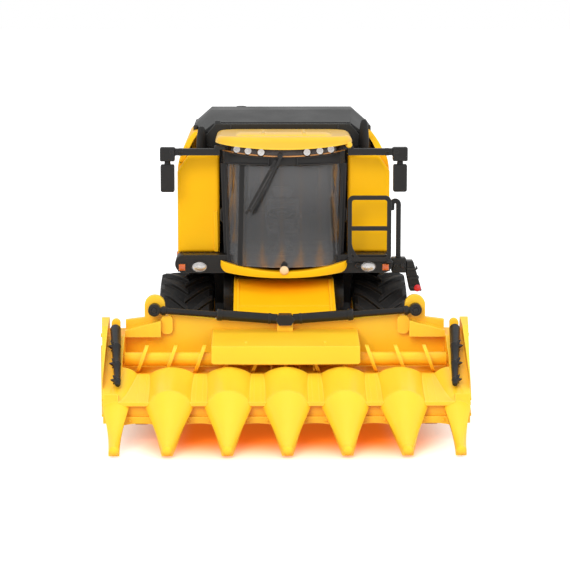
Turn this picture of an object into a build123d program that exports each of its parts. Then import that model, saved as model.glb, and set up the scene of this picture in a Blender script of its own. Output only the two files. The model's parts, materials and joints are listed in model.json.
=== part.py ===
"""Toy combine harvester at 1:64 with a six-row maize header.

Millimetres, +Z up.  The machine faces -Y and its own left side is +X.  Stations are
measured back from the tips of the header's snouts, and at() turns a station into Y, so
that the origin lies under the middle of the whole toy on the floor.
"""
from build123d import *
from math import atan2, degrees, sqrt
import os

os.makedirs("parts", exist_ok=True)

# ---- driving sizes ------------------------------------------------------------------
overall_length = 172.0      # snout tips to the back of the straw hood
body_width = 48.0           # over the side panels
wheelbase = 58.0
row_count = 6
row_pitch = 12.0

seat_gap = 0.05             # between pieces of one body that are pushed together
running_gap = 0.06          # radial, shaft in a turning bore
side_gap = 0.35             # beside a turning or swinging piece
through = 2 * overall_length    # a cut of this length passes right through
past = 1.0                  # how far a cutting outline reaches past its piece

# ---- wheels and axles ---------------------------------------------------------------
front_axle_station = 76.0
front_tyre_radius = 13.4
front_tyre_width = 12.4
front_rim_radius = 7.6
front_wheel_outer_x = body_width / 2 + 4.3
rear_tyre_radius = 10.0
rear_tyre_width = 8.0
rear_rim_radius = 5.4
rear_wheel_outer_x = body_width / 2 + 1.0
axle_radius = 1.5
axle_head_radius = 2.3
axle_head_length = 0.9
rear_axle_station = front_axle_station + wheelbase

# ---- lower body ---------------------------------------------------------------------
chassis_half = 13.6
chassis_top = 28.7
belly_height = 8.6
hinge_station = 70.0
hinge_height = 22.6
hinge_radius = 4.4          # round rear end of the feeder house
hinge_pin_radius = 1.2
cheek_thickness = 2.0
feeder_half = chassis_half - cheek_thickness - side_gap

# ---- platform, cab ------------------------------------------------------------------
platform_front = 62.0
platform_low = chassis_top
platform_top = 32.8
platform_half = body_width / 2 + 0.5
cab_nose_station = 56.0
cab_rear_station = 84.0
cab_low_half = 12.6
cab_high_half = 13.4
glass_low = 30.7
glass_top = 53.2
glass_wall = 0.8
band_low = 55.2           # the black head rail ends and the lamp band starts
band_top = 56.8
roof_top = 59.6
brow = 1.3                  # how far the roof and lamp band bow down in the middle
roof_front = 57.4
roof_half = 15.3

# ---- upper body ---------------------------------------------------------------------
panel_front_station = 66.5
panel_wall = 1.6
front_panel_depth = 3.5
shoulder_low = 50.0         # where the side panel starts to lean in
shoulder_top = 58.6
shoulder_half = body_width / 2 - 3.2
panel_low = 29.6
tank_front = cab_rear_station
tank_rear = 128.0
deck_rear = 146.0
chassis_rear_station = deck_rear    # the hood and the chopper start behind it
tank_top = 55.6


def at(station):
    """Y of a station measured back from the snout tips."""
    return station - overall_length / 2


def across(station):
    """Plane facing forward at a station, with X to the right and Z up in it."""
    return Plane.XZ.offset(-at(station))


def side_outline(*points):
    """Closed sketch outline in a side plane from (station, height) points."""
    return Polygon(*[(at(station), height) for station, height in points], align=None)


def save(builder, node):
    """Label a finished sub-part and write its file."""
    builder.part.label = node
    export_step(builder.part, f"parts/{node}.step")


# ---- running gear -------------------------------------------------------------------
# name, station, tyre radius, tyre width, rim radius, outer face X
axles = [
    ("front", front_axle_station, front_tyre_radius, front_tyre_width,
     front_rim_radius, front_wheel_outer_x),
    ("rear", rear_axle_station, rear_tyre_radius, rear_tyre_width,
     rear_rim_radius, rear_wheel_outer_x),
]
hub_inset = 1.6             # hub face behind the tyre's outer face
shoulder_round = 1.6        # tyre shoulder
rim_flange = 0.7
rim_web = 1.6
hub_wall = 1.6
hub_radius = axle_radius + hub_wall
dish_depth = 1.8            # from the hub's face down to the rim's web
housing_wall = 1.9

for name, station, tyre_radius, tyre_width, rim_radius, outer_x in axles:
    head_x = outer_x - hub_inset + side_gap

    with BuildPart() as axle:
        with Locations(Pos(0, at(station), tyre_radius) * Rot(Y=90)):
            Cylinder(axle_radius, 2 * head_x)
        for side in (-1, 1):
            head_centre = side * (head_x + axle_head_length / 2)
            with Locations(Pos(head_centre, at(station), tyre_radius) * Rot(Y=90)):
                Cylinder(axle_head_radius, axle_head_length)
    save(axle, f"{name}_axle")

    for side, side_name in ((1, "left"), (-1, "right")):
        middle_x = side * (outer_x - tyre_width / 2)
        wheel_place = Pos(middle_x, at(station), tyre_radius) * Rot(Y=90 * side)

        with BuildPart() as tyre:
            with Locations(wheel_place):
                Cylinder(tyre_radius, tyre_width)
            fillet(tyre.edges().filter_by(GeomType.CIRCLE), shoulder_round)
            with Locations(wheel_place):
                Cylinder(rim_radius, tyre_width, mode=Mode.SUBTRACT)
        save(tyre, f"{name}_{side_name}_tyre")

        # The rim's face is a dish around a hub that turns on the axle.
        with BuildPart() as rim:
            with Locations(wheel_place):
                Cylinder(rim_radius, tyre_width)
            outer_face = Plane(wheel_place).offset(tyre_width / 2)
            inner_face = Plane(wheel_place).offset(-tyre_width / 2)
            with BuildSketch(outer_face):
                Circle(rim_radius - rim_flange)
                Circle(hub_radius, mode=Mode.SUBTRACT)
            extrude(amount=-(hub_inset + dish_depth), mode=Mode.SUBTRACT)
            with BuildSketch(outer_face):
                Circle(hub_radius)
            extrude(amount=-hub_inset, mode=Mode.SUBTRACT)
            with BuildSketch(inner_face):
                Circle(rim_radius - rim_flange)
                Circle(hub_radius, mode=Mode.SUBTRACT)
            extrude(amount=tyre_width - hub_inset - dish_depth - rim_web,
                    mode=Mode.SUBTRACT)
            with Locations(wheel_place):
                Cylinder(axle_radius + running_gap, tyre_width, mode=Mode.SUBTRACT)
        save(rim, f"{name}_{side_name}_rim")

# ---- chassis ------------------------------------------------------------------------
body_front = hinge_station + hinge_radius + side_gap
belly_rise = 3.2
cheek_half_height = 4.6
cheek_root = 1.0            # how far the cheeks run into the chassis
screw_radius = 1.25
screw_depth = 6.0
screw_stations = (front_axle_station + 14.0, rear_axle_station - 12.0)

with BuildPart() as chassis:
    with BuildSketch(Plane.YZ):
        side_outline(
            (body_front, belly_height + belly_rise),
            (body_front + belly_rise, belly_height),
            (chassis_rear_station - 2 * belly_rise, belly_height),
            (chassis_rear_station, belly_height + belly_rise),
            (chassis_rear_station, chassis_top),
            (body_front, chassis_top),
        )
    extrude(amount=chassis_half, both=True)
    for name, station, tyre_radius, tyre_width, rim_radius, outer_x in axles:
        with Locations(Pos(0, at(station), tyre_radius) * Rot(Y=90)):
            Cylinder(axle_radius + housing_wall, 2 * (outer_x - tyre_width - side_gap))
    for side in (-1, 1):
        with BuildSketch(Plane.YZ.offset(side * (chassis_half - cheek_thickness / 2))):
            with Locations((at(hinge_station), hinge_height)):
                Circle(cheek_half_height)
            side_outline(
                (hinge_station, hinge_height - cheek_half_height),
                (body_front + cheek_root, hinge_height - cheek_half_height),
                (body_front + cheek_root, hinge_height + cheek_half_height),
                (hinge_station, hinge_height + cheek_half_height),
            )
        extrude(amount=cheek_thickness / 2, both=True)
    for name, station, tyre_radius, tyre_width, rim_radius, outer_x in axles:
        with Locations(Pos(0, at(station), tyre_radius) * Rot(Y=90)):
            Cylinder(axle_radius + seat_gap, through, mode=Mode.SUBTRACT)
    with Locations(Pos(0, at(hinge_station), hinge_height) * Rot(Y=90)):
        Cylinder(hinge_pin_radius + seat_gap, through, mode=Mode.SUBTRACT)
    for station in screw_stations:
        with BuildSketch(Plane.XY.offset(belly_height)):
            with Locations((0, at(station))):
                Circle(screw_radius)
        extrude(amount=screw_depth, mode=Mode.SUBTRACT)
save(chassis, "chassis")

with BuildPart() as hinge_pin:
    with Locations(Pos(0, at(hinge_station), hinge_height) * Rot(Y=90)):
        Cylinder(hinge_pin_radius, 2 * chassis_half)
save(hinge_pin, "header_hinge_pin")

# ---- platform under the cab, with its lamps -----------------------------------------
lamp_x = platform_half - 5.5
lamp_height = 30.1
lamp_radii = (1.6, 1.1)
lamp_depth = 0.7
indicator_x = platform_half - 1.6
indicator_height = 30.0
indicator_size = 1.5
platform_height = platform_top - platform_low
panel_inner_half = body_width / 2 - panel_wall
panel_seat_station = panel_front_station + front_panel_depth

with BuildPart() as platform:
    with BuildSketch(across(platform_front)):
        with Locations((0, platform_low + platform_height / 2)):
            SlotOverall(2 * platform_half, platform_height)
    extrude(amount=platform_front - panel_seat_station)
    with BuildSketch(Plane.XY.offset(platform_low)):
        with Locations((0, at((panel_seat_station + cab_rear_station) / 2))):
            Rectangle(2 * panel_inner_half, cab_rear_station - panel_seat_station)
    extrude(amount=platform_height)
    with BuildSketch(across(platform_front)):
        with Locations((-lamp_x, lamp_height), (lamp_x, lamp_height)):
            Ellipse(lamp_radii[0] + seat_gap, lamp_radii[1] + seat_gap)
        with Locations((-indicator_x, indicator_height), (indicator_x, indicator_height)):
            Rectangle(indicator_size + 2 * seat_gap, indicator_size + 2 * seat_gap)
    extrude(amount=-lamp_depth, mode=Mode.SUBTRACT)
save(platform, "platform")

lamp_proud = 0.3
with BuildPart() as headlights:
    with BuildSketch(across(platform_front - lamp_proud)):
        with Locations((-lamp_x, lamp_height), (lamp_x, lamp_height)):
            Ellipse(*lamp_radii)
    extrude(amount=-(lamp_depth + lamp_proud))
save(headlights, "headlights")

with BuildPart() as indicators:
    with BuildSketch(across(platform_front - lamp_proud)):
        with Locations((-indicator_x, indicator_height), (indicator_x, indicator_height)):
            Rectangle(indicator_size, indicator_size)
    extrude(amount=-(lamp_depth + lamp_proud))
save(indicators, "indicators")

# ---- cab ----------------------------------------------------------------------------
nose_wrap = 6.5             # how far the windscreen's corners lie behind its middle
glass_lean = 3.5            # how far the windscreen's top lies behind its foot
frame_wall = 0.8
door_front = 64.6
door_post = 73.2
post_width = 1.3
sill_height = 1.8
header_rail = 1.3
trim_half = 14.2
trim_front = cab_nose_station - 1.2
trim_end = platform_front - 0.6
trim_middle = (28.5, 29.8)  # lower and upper edge in the middle
trim_ends = (29.2, 31.6)
trim_round = 1.7            # lower corners of the trim's ends
inner_post_x = -9.6
inner_post_station = 81.6
inner_post_width = 2.6
roof_liner_inset = 0.5      # head rail behind the face of the lamp band


def cab_outline(half_width, nose, height):
    """Face of the cab's plan at one height, with a curved front."""
    corner = at(nose + nose_wrap)
    rear = at(cab_rear_station)
    with BuildSketch(Plane.XY.offset(height), mode=Mode.PRIVATE) as plan:
        with BuildLine():
            ThreePointArc((-half_width, corner), (0, at(nose)), (half_width, corner))
            Polyline((half_width, corner), (half_width, rear),
                     (-half_width, rear), (-half_width, corner))
        make_face()
    return plan.sketch.faces()[0]


def bowed_plate(half_width, nose, bow, low, top, rear=cab_rear_station):
    """Plate with a curved front edge, whose corners lie behind its middle."""
    with BuildPart(mode=Mode.PRIVATE) as plate:
        with BuildSketch(Plane.XY.offset(low)):
            with BuildLine():
                ThreePointArc((-half_width, at(nose + bow)), (0, at(nose)),
                              (half_width, at(nose + bow)))
                Polyline((half_width, at(nose + bow)), (half_width, at(rear)),
                         (-half_width, at(rear)), (-half_width, at(nose + bow)))
            make_face()
        extrude(amount=top - low)
    return plate.part


def brow_band(low, top):
    """Solid across the front between two heights, bowed down in the middle."""
    half = body_width / 2
    with BuildPart(mode=Mode.PRIVATE) as band:
        with BuildSketch(across(0)):
            with BuildLine():
                drop = brow * (half / roof_half) ** 2
                ThreePointArc((-half, low + drop), (0, low), (half, low + drop))
                Polyline((half, low + drop), (half, top + drop))
                ThreePointArc((half, top + drop), (0, top), (-half, top + drop))
                Polyline((-half, top + drop), (-half, low + drop))
            make_face()
        extrude(amount=-overall_length)
    return band.part


def cab_volume(inset):
    """Solid inside the cab's outer glass face, drawn in by an inset."""
    foot = cab_outline(cab_low_half - inset, cab_nose_station + inset, glass_low)
    head = cab_outline(cab_high_half - inset, cab_nose_station + glass_lean + inset,
                       glass_top)
    return Solid.make_loft([foot.outer_wire(), head.outer_wire()], True)


glass_outside = cab_volume(0)
glass_inside = cab_volume(glass_wall)
floor_inside = cab_volume(glass_wall + seat_gap)
frame_outside = cab_volume(-frame_wall)
frame_inside = cab_volume(-seat_gap)
floor_thickness = 0.5
floor_top = platform_top + floor_thickness
wall_thickness = 1.4
wall_front = cab_rear_station - wall_thickness

with BuildPart() as cab_glass:
    add(glass_outside)
    add(glass_inside, mode=Mode.SUBTRACT)
    with BuildSketch(Plane.YZ):
        side_outline(
            (platform_front, glass_low - past),
            (cab_rear_station + past, glass_low - past),
            (cab_rear_station + past, glass_top + past),
            (wall_front, glass_top + past),
            (wall_front, platform_top),
            (platform_front, platform_top),
        )
    extrude(amount=through, both=True, mode=Mode.SUBTRACT)
save(cab_glass, "cab_glass")

with BuildPart() as cab_frame:
    add(frame_outside)
    add(frame_inside, mode=Mode.SUBTRACT)
    with BuildSketch(Plane.YZ):
        side_outline(
            (0, 0),
            (door_front - post_width, 0),
            (door_front - post_width + glass_lean / 2, glass_top + past),
            (0, glass_top + past),
        )
        side_outline(
            (door_front, platform_top + sill_height),
            (door_post, platform_top + sill_height),
            (door_post, glass_top - header_rail),
            (door_front + glass_lean / 2, glass_top - header_rail),
        )
        side_outline(
            (door_post + post_width, platform_top + sill_height),
            (wall_front - post_width, platform_top + sill_height),
            (wall_front - post_width, glass_top - header_rail),
            (door_post + post_width, glass_top - header_rail),
        )
        side_outline((0, 0), (overall_length, 0), (overall_length, platform_top),
                     (0, platform_top))
    extrude(amount=through, both=True, mode=Mode.SUBTRACT)
    with BuildSketch(across(cab_rear_station)):
        with BuildLine():
            Polyline(
                (-cab_low_half - frame_wall, platform_top),
                (cab_low_half + frame_wall, platform_top),
                (cab_high_half + frame_wall, glass_top),
                (-cab_high_half - frame_wall, glass_top),
                close=True,
            )
        make_face()
    extrude(amount=wall_thickness)
    # An inner post stands behind the windscreen on the machine's right.
    with BuildSketch(Plane.XY.offset(floor_top)):
        with Locations((inner_post_x, at((inner_post_station + wall_front) / 2))):
            Rectangle(inner_post_width, wall_front - inner_post_station)
    extrude(amount=glass_top - floor_top)
    # The head rail closes the cab above the glass.
    rail_front = cab_nose_station + glass_lean - frame_wall
    rail = bowed_plate(cab_high_half + frame_wall - roof_liner_inset, rail_front, nose_wrap,
                       glass_top, band_low + brow)
    add(rail - brow_band(band_low, roof_top))
save(cab_frame, "cab_frame")

with BuildPart() as cab_floor:
    add(floor_inside)
    with BuildSketch(Plane.YZ):
        side_outline(
            (platform_front, 0),
            (platform_front, platform_top),
            (wall_front - seat_gap, platform_top),
            (wall_front - seat_gap, floor_top),
            (0, floor_top),
            (0, glass_top + past),
            (cab_rear_station + past, glass_top + past),
            (cab_rear_station + past, 0),
        )
    extrude(amount=through, both=True, mode=Mode.SUBTRACT)
save(cab_floor, "cab_floor")

# The trim bows round the windscreen's foot, and its ends sweep up.
with BuildPart() as cab_trim:
    add(bowed_plate(trim_half, trim_front, trim_end - trim_front, trim_middle[0],
                    trim_ends[1], platform_front))
    with BuildSketch(across(0)):
        with BuildLine():
            ThreePointArc((-trim_half, trim_ends[1]), (0, trim_middle[1]),
                          (trim_half, trim_ends[1]))
            Line((trim_half, trim_ends[1]), (trim_half, trim_ends[0]))
            ThreePointArc((trim_half, trim_ends[0]), (0, trim_middle[0]),
                          (-trim_half, trim_ends[0]))
            Line((-trim_half, trim_ends[0]), (-trim_half, trim_ends[1]))
        outline = make_face()
        fillet(outline.vertices().group_by(Axis.Y)[0], trim_round)
    extrude(amount=-through, mode=Mode.INTERSECT)
    add(frame_inside, mode=Mode.SUBTRACT)
save(cab_trim, "cab_trim")

# ---- inside the cab -----------------------------------------------------------------
seat_half = 3.7
cushion_front = 68.0
back_front = 74.6
back_thickness = 2.0
back_lean = 1.2
cushion_low = floor_top + 3.1
cushion_thickness = 2.2
headrest_top = min(cushion_low + 10.4, glass_top - side_gap)    # under the head rail
seat_round = 0.5
seat_foot = (4.4, 5.0)
seat_foot_station = cushion_front + 4.0

with BuildPart() as seat:
    with BuildSketch(Plane.YZ):
        side_outline(
            (cushion_front, cushion_low),
            (back_front + back_thickness, cushion_low),
            (back_front + back_thickness + back_lean, headrest_top),
            (back_front + back_lean, headrest_top),
            (back_front, cushion_low + cushion_thickness),
            (cushion_front, cushion_low + cushion_thickness),
        )
    extrude(amount=seat_half, both=True)
    fillet(seat.edges().filter_by(Axis.X), seat_round)
    with BuildSketch(Plane.XY.offset(floor_top)):
        with Locations((0, at(seat_foot_station))):
            Rectangle(*seat_foot)
    extrude(amount=cushion_low - floor_top)
save(seat, "seat")

column_x = -0.5
column_station = 65.4
column_section = (1.6, 2.0)
wheel_height = floor_top + 7.7
steering_tilt = -25.0
steering_radius = 3.4
steering_thickness = 0.8
with BuildPart() as steering_column:
    with BuildSketch(Plane.XY.offset(floor_top)):
        with Locations((column_x, at(column_station))):
            Rectangle(*column_section)
    extrude(amount=wheel_height - floor_top)
    with Locations(Pos(column_x, at(column_station), wheel_height) * Rot(X=steering_tilt)):
        Cylinder(steering_radius, steering_thickness)
save(steering_column, "steering_column")

# ---- cab roof, light band and what hangs from them ----------------------------------
band_half = 14.3
band_front = 58.6
band_bow = 6.0
work_light_x = (5.1, 8.0, 10.5)
work_light_height = (band_low + band_top) / 2      # over the brow's middle
work_light_radius = 0.75
work_light_depth = 1.0
work_light_proud = 0.5
roof_rear_station = cab_rear_station - 0.6
roof_bow = 2.4
roof_corner = 5.5
roof_edge = 1.3

with BuildPart() as light_band:
    add(bowed_plate(band_half, band_front, band_bow, band_low, band_top + brow))
    add(brow_band(band_low, band_top), mode=Mode.INTERSECT)
    for x in work_light_x:
        lamp_station = band_front + band_bow * (x / band_half) ** 2
        lamp_z = work_light_height + brow * (x / roof_half) ** 2
        with BuildSketch(across(lamp_station - work_light_depth)):
            with Locations((-x, lamp_z), (x, lamp_z)):
                Circle(work_light_radius + seat_gap)
        extrude(amount=-2 * work_light_depth, mode=Mode.SUBTRACT)
save(light_band, "light_band")

with BuildPart() as work_lights:
    for x in work_light_x:
        lamp_station = band_front + band_bow * (x / band_half) ** 2
        lamp_z = work_light_height + brow * (x / roof_half) ** 2
        with BuildSketch(across(lamp_station - work_light_proud)):
            with Locations((-x, lamp_z), (x, lamp_z)):
                Circle(work_light_radius)
        extrude(amount=-work_light_depth - work_light_proud)
save(work_lights, "work_lights")

with BuildPart() as cab_roof:
    add(bowed_plate(roof_half, roof_front, roof_bow, band_top, roof_top,
                    roof_rear_station))
    fillet(cab_roof.edges().filter_by(Axis.Z), roof_corner)
    fillet(cab_roof.faces().sort_by(Axis.Z)[-1].edges(), roof_edge)
    add(brow_band(band_low, band_top), mode=Mode.SUBTRACT)
save(cab_roof, "cab_roof")

# The wiper hangs in front of the windscreen from a boss on the light band.
wiper_top = (-0.9, 55.4)
wiper_foot = (-8.2, 42.3)
wiper_width = 1.1
wiper_thickness = 0.5
wiper_boss_length = 0.8
wiper_station = band_front - wiper_boss_length
wiper_length = sqrt((wiper_top[0] - wiper_foot[0]) ** 2 + (wiper_top[1] - wiper_foot[1]) ** 2)
wiper_angle = degrees(atan2(wiper_top[1] - wiper_foot[1], wiper_top[0] - wiper_foot[0]))
with BuildPart() as wiper:
    with BuildSketch(across(wiper_station)):
        with Locations(Pos((wiper_top[0] + wiper_foot[0]) / 2,
                           (wiper_top[1] + wiper_foot[1]) / 2) * Rot(Z=wiper_angle)):
            SlotCenterToCenter(wiper_length, wiper_width)
    extrude(amount=wiper_thickness)
    with BuildSketch(across(wiper_station)):
        with Locations(wiper_top):
            Circle(wiper_width)
    extrude(amount=-wiper_boss_length)
save(wiper, "wiper")

mirror_x = body_width / 2 + 2.0
mirror_station = 62.0
arm_height = band_low + 0.8
arm_thickness = 1.5
root_inner_x = band_half - 1.3      # the arm's root reaches in under the roof
root_outer_x = band_half + 1.2
root_low = band_low + brow
root_top = band_top + brow * (root_inner_x / roof_half) ** 2 - side_gap
joint_size = (3.3, 2.6, 3.1)        # block at the arm's end
joint_height = arm_height - 0.5
head_size = (3.1, 1.6, 6.2)
head_height = 50.1
head_round = 0.5
link_width = 1.1            # short link from the block down to the mirror's head
link_root = 0.35
link_low = head_height + head_size[2] / 2 - link_root
link_top = joint_height - joint_size[2] / 2 + link_root
for side_name, side in (("left", 1), ("right", -1)):
    with BuildPart() as mirror:
        with Locations(Pos(side * (band_half + mirror_x) / 2, at(mirror_station), arm_height)):
            Box(mirror_x - band_half, arm_thickness, arm_thickness)
        with Locations(Pos(side * (root_inner_x + root_outer_x) / 2, at(mirror_station),
                           (root_low + root_top) / 2)):
            Box(root_outer_x - root_inner_x, arm_thickness, root_top - root_low)
        with Locations(Pos(side * mirror_x, at(mirror_station), joint_height)):
            Box(*joint_size)
        with Locations(Pos(side * mirror_x, at(mirror_station), head_height)):
            Box(*head_size)
        with Locations(Pos(side * mirror_x, at(mirror_station), (link_low + link_top) / 2)):
            Box(link_width, link_width, link_top - link_low)
        fillet(mirror.faces().sort_by(Axis.Z)[0].edges(), head_round)
    save(mirror, f"mirror_{side_name}")

# ---- rails and ladder on the machine's left -----------------------------------------
rail_bar = 0.95
rail_corner = 1.4
rail_inner_corner = 0.6
rail_left = trim_half + 0.1
rail_right = platform_half - 0.4
rail_middle_x = (rail_left + rail_right) / 2
rail_low = lamp_height + lamp_radii[1] + 0.15
rail_top = 46.2
rail_bar_height = 38.8
brace_rise = 4.3            # the foot of the inner post has a curved brace
brace_knee = (0.5, 2.1)
brace_run = 2.1
brace_width = 0.8
with BuildPart() as platform_rail:
    with BuildSketch(across(platform_front - rail_bar)):
        with Locations((rail_middle_x, (rail_low + rail_top) / 2)):
            RectangleRounded(rail_right - rail_left, rail_top - rail_low, rail_corner)
            RectangleRounded(rail_right - rail_left - 2 * rail_bar,
                             rail_top - rail_low - 2 * rail_bar, rail_inner_corner,
                             mode=Mode.SUBTRACT)
        with Locations((rail_middle_x, rail_bar_height)):
            Rectangle(rail_right - rail_left - rail_bar, rail_bar)
        brace_x = rail_left + rail_bar / 2
        brace_foot = rail_low + rail_bar / 2
        with BuildLine():
            ThreePointArc((brace_x, brace_foot + brace_rise),
                          (brace_x + brace_knee[0], brace_foot + brace_knee[1]),
                          (brace_x + brace_run, brace_foot))
            offset(amount=brace_width / 2, side=Side.BOTH)
        make_face()
    extrude(amount=-rail_bar)
save(platform_rail, "platform_rail")

ladder_station = 66.2
ladder_rail_left = platform_half - 0.5
ladder_rail_right = platform_half + 2.1
ladder_inner_x = platform_half + 3.3
ladder_block_top = 31.6
ladder_block_low = 28.2
ladder_block_depth = 3.4
ladder_rail_top = 45.0
ladder_hook_low = 42.3
ladder_rail_bar = 1.1
ladder_rail_corner = 1.3
ladder_rail_width = ladder_rail_right - ladder_rail_left
with BuildPart() as ladder_rail:
    with BuildSketch(across(ladder_station)):
        with Locations(((ladder_rail_left + ladder_rail_right) / 2, ladder_rail_top)):
            RectangleRounded(ladder_rail_width,
                             2 * (ladder_rail_top - ladder_block_top), ladder_rail_corner,
                             align=(Align.CENTER, Align.MAX))
        with Locations(((ladder_rail_left + ladder_rail_right) / 2,
                        ladder_rail_top - ladder_rail_bar)):
            Rectangle(ladder_rail_width - 2 * ladder_rail_bar, through,
                      align=(Align.CENTER, Align.MAX), mode=Mode.SUBTRACT)
        with Locations((0, ladder_block_top)):
            Rectangle(through, through, align=(Align.CENTER, Align.MAX),
                      mode=Mode.SUBTRACT)
        # The inner leg is only a short hook.
        with Locations((0, ladder_hook_low)):
            Rectangle(2 * (ladder_rail_left + ladder_rail_bar), through,
                      align=(Align.CENTER, Align.MAX), mode=Mode.SUBTRACT)
    extrude(amount=-ladder_rail_bar)
    with Locations(Pos((platform_half + ladder_inner_x) / 2,
                       at(ladder_station + ladder_rail_bar / 2),
                       (ladder_block_top + ladder_block_low) / 2)):
        Box(ladder_inner_x - platform_half, ladder_block_depth,
            ladder_block_top - ladder_block_low)
save(ladder_rail, "ladder_rail")

ladder_depth = 3.6
ladder_front = ladder_station - 1.1
ladder_top = ladder_block_top - 0.7
ladder_low = 24.0
ladder_head_width = 1.6
ladder_foot_width = 2.8
ladder_foot_inner = max(front_wheel_outer_x, ladder_inner_x) + side_gap
with BuildPart() as ladder:
    with BuildSketch(across(ladder_front)):
        Polygon((ladder_inner_x, ladder_top), (ladder_inner_x + ladder_head_width, ladder_top),
                (ladder_foot_inner + ladder_foot_width, ladder_low),
                (ladder_foot_inner, ladder_low), (ladder_inner_x, ladder_block_low),
                align=None)
    extrude(amount=-ladder_depth)
save(ladder, "ladder")

# ---- bay for the unloading tube, in the machine's left side ---------------------------
tube_radius = 2.3
elbow_radius = tube_radius + 0.1
turret_station = 90.0
turret_pin_radius = 1.1
turret_root = 2.2           # length of the pin inside the body
tube_x = body_width / 2 - 1.8
tube_height = 46.5
bay_low = tube_height - elbow_radius - side_gap
bay_top = tube_height + elbow_radius + side_gap
bay_inner_x = tube_x - elbow_radius - side_gap
bay_front = turret_station - elbow_radius - 2 * side_gap
bay_rear = deck_rear - 2.5

# ---- upper body ---------------------------------------------------------------------
deck_height = 2.0
core_half = panel_inner_half - seat_gap
core_shoulder = shoulder_low - 1.0
core_top_half = shoulder_half - panel_wall - 1.6
cab_side_gap = 0.9
block_half = cab_high_half + frame_wall + cab_side_gap
block_top = 54.0
panel_drop = 20.5
arch_gap = 3.6
arch_slope = 3.0
front_panel_inner = block_half - 0.6
front_panel_top = 55.0
front_panel_chamfer = (2.6, 3.7)
front_panel_corner = 1.2
front_panel_edge = 0.8


with BuildPart() as tube_bay:
    with BuildSketch(Plane.YZ.offset(bay_inner_x)):
        side_outline((bay_front, bay_low), (bay_rear, bay_low), (bay_rear, bay_top),
                     (bay_front, bay_top))
    extrude(amount=body_width)
    # The turret's pin stands in a hole in the bay's floor.
    with BuildSketch(Plane.XY.offset(bay_low)):
        with Locations((tube_x, at(turret_station))):
            Circle(turret_pin_radius + seat_gap)
    extrude(amount=-turret_root - seat_gap)

with BuildPart() as body_core:
    with BuildSketch(across(tank_front)):
        with BuildLine():
            Polyline((-core_half, platform_low), (core_half, platform_low),
                     (core_half, core_shoulder), (core_top_half, tank_top),
                     (-core_top_half, tank_top), (-core_half, core_shoulder),
                     close=True)
        make_face()
    extrude(amount=tank_front - deck_rear)
    for side in (-1, 1):
        block_middle = side * (block_half + core_half) / 2
        with BuildSketch(Plane.XY.offset(platform_top)):
            with Locations((block_middle, at((panel_seat_station + tank_front) / 2))):
                Rectangle(core_half - block_half, tank_front - panel_seat_station)
        extrude(amount=core_shoulder - platform_top)
    add(tube_bay.part, mode=Mode.SUBTRACT)
save(body_core, "body_core")

lean_bulge = (0.9, 1.0)     # how far the leaning shoulder's middle is inside, and above
side_tops = (
    # station, height of the side panel's top edge
    (panel_seat_station, 54.6),
    (tank_front, 55.0),
    (tank_front + 4.0, shoulder_top),
    (tank_rear - 4.0, shoulder_top),
    (tank_rear + 3.0, 56.8),
    (deck_rear, tank_top),
)
for side_name, side in (("left", 1), ("right", -1)):
    outer_half = body_width / 2
    lean_middle = (outer_half - lean_bulge[0],
                   (shoulder_low + shoulder_top) / 2 + lean_bulge[1])

    with BuildPart() as side_panel:
        with BuildSketch(across(panel_seat_station)):
            with BuildLine():
                Polyline((shoulder_half * side, shoulder_top),
                         ((shoulder_half - panel_wall) * side, shoulder_top))
                ThreePointArc(((shoulder_half - panel_wall) * side, shoulder_top),
                              ((lean_middle[0] - panel_wall) * side, lean_middle[1]),
                              (panel_inner_half * side, shoulder_low))
                Polyline((panel_inner_half * side, shoulder_low),
                         (panel_inner_half * side, belly_height),
                         (outer_half * side, belly_height),
                         (outer_half * side, shoulder_low))
                ThreePointArc((outer_half * side, shoulder_low),
                              (lean_middle[0] * side, lean_middle[1]),
                              (shoulder_half * side, shoulder_top))
            make_face()
        extrude(amount=panel_seat_station - deck_rear)
        front_arch_rear = front_axle_station + front_tyre_radius + arch_gap
        rear_arch_front = rear_axle_station - rear_tyre_radius - arch_gap
        rear_arch_low = 2 * rear_tyre_radius + arch_gap
        with BuildSketch(Plane.YZ):
            side_outline(
                (panel_seat_station, panel_low),
                (front_arch_rear, panel_low),
                (front_arch_rear + arch_slope, panel_drop),
                (rear_arch_front - arch_slope, panel_drop),
                (rear_arch_front, rear_arch_low),
                (deck_rear, rear_arch_low),
                *reversed(side_tops),
            )
        extrude(amount=through, both=True, mode=Mode.INTERSECT)
        if side > 0:
            add(tube_bay.part, mode=Mode.SUBTRACT)
    save(side_panel, f"side_panel_{side_name}")

    chamfer_top = Vector(side * (outer_half - front_panel_chamfer[0]), front_panel_top)
    chamfer_foot = Vector(side * outer_half, front_panel_top - front_panel_chamfer[1])
    with BuildPart() as front_panel:
        with BuildSketch(across(panel_front_station)) as front_face:
            Polygon((side * front_panel_inner, platform_top), (chamfer_foot.X, platform_top),
                    (chamfer_foot.X, chamfer_foot.Y), (chamfer_top.X, chamfer_top.Y),
                    (side * front_panel_inner, front_panel_top), align=None)
            fillet(front_face.vertices().sort_by_distance(chamfer_top)[0],
                   front_panel_corner)
            fillet(front_face.vertices().sort_by_distance(chamfer_foot)[0],
                   front_panel_corner)
        extrude(amount=-front_panel_depth)
        fillet(front_panel.faces().sort_by(Axis.Y)[0].edges(), front_panel_edge)
    save(front_panel, f"front_panel_{side_name}")

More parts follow.
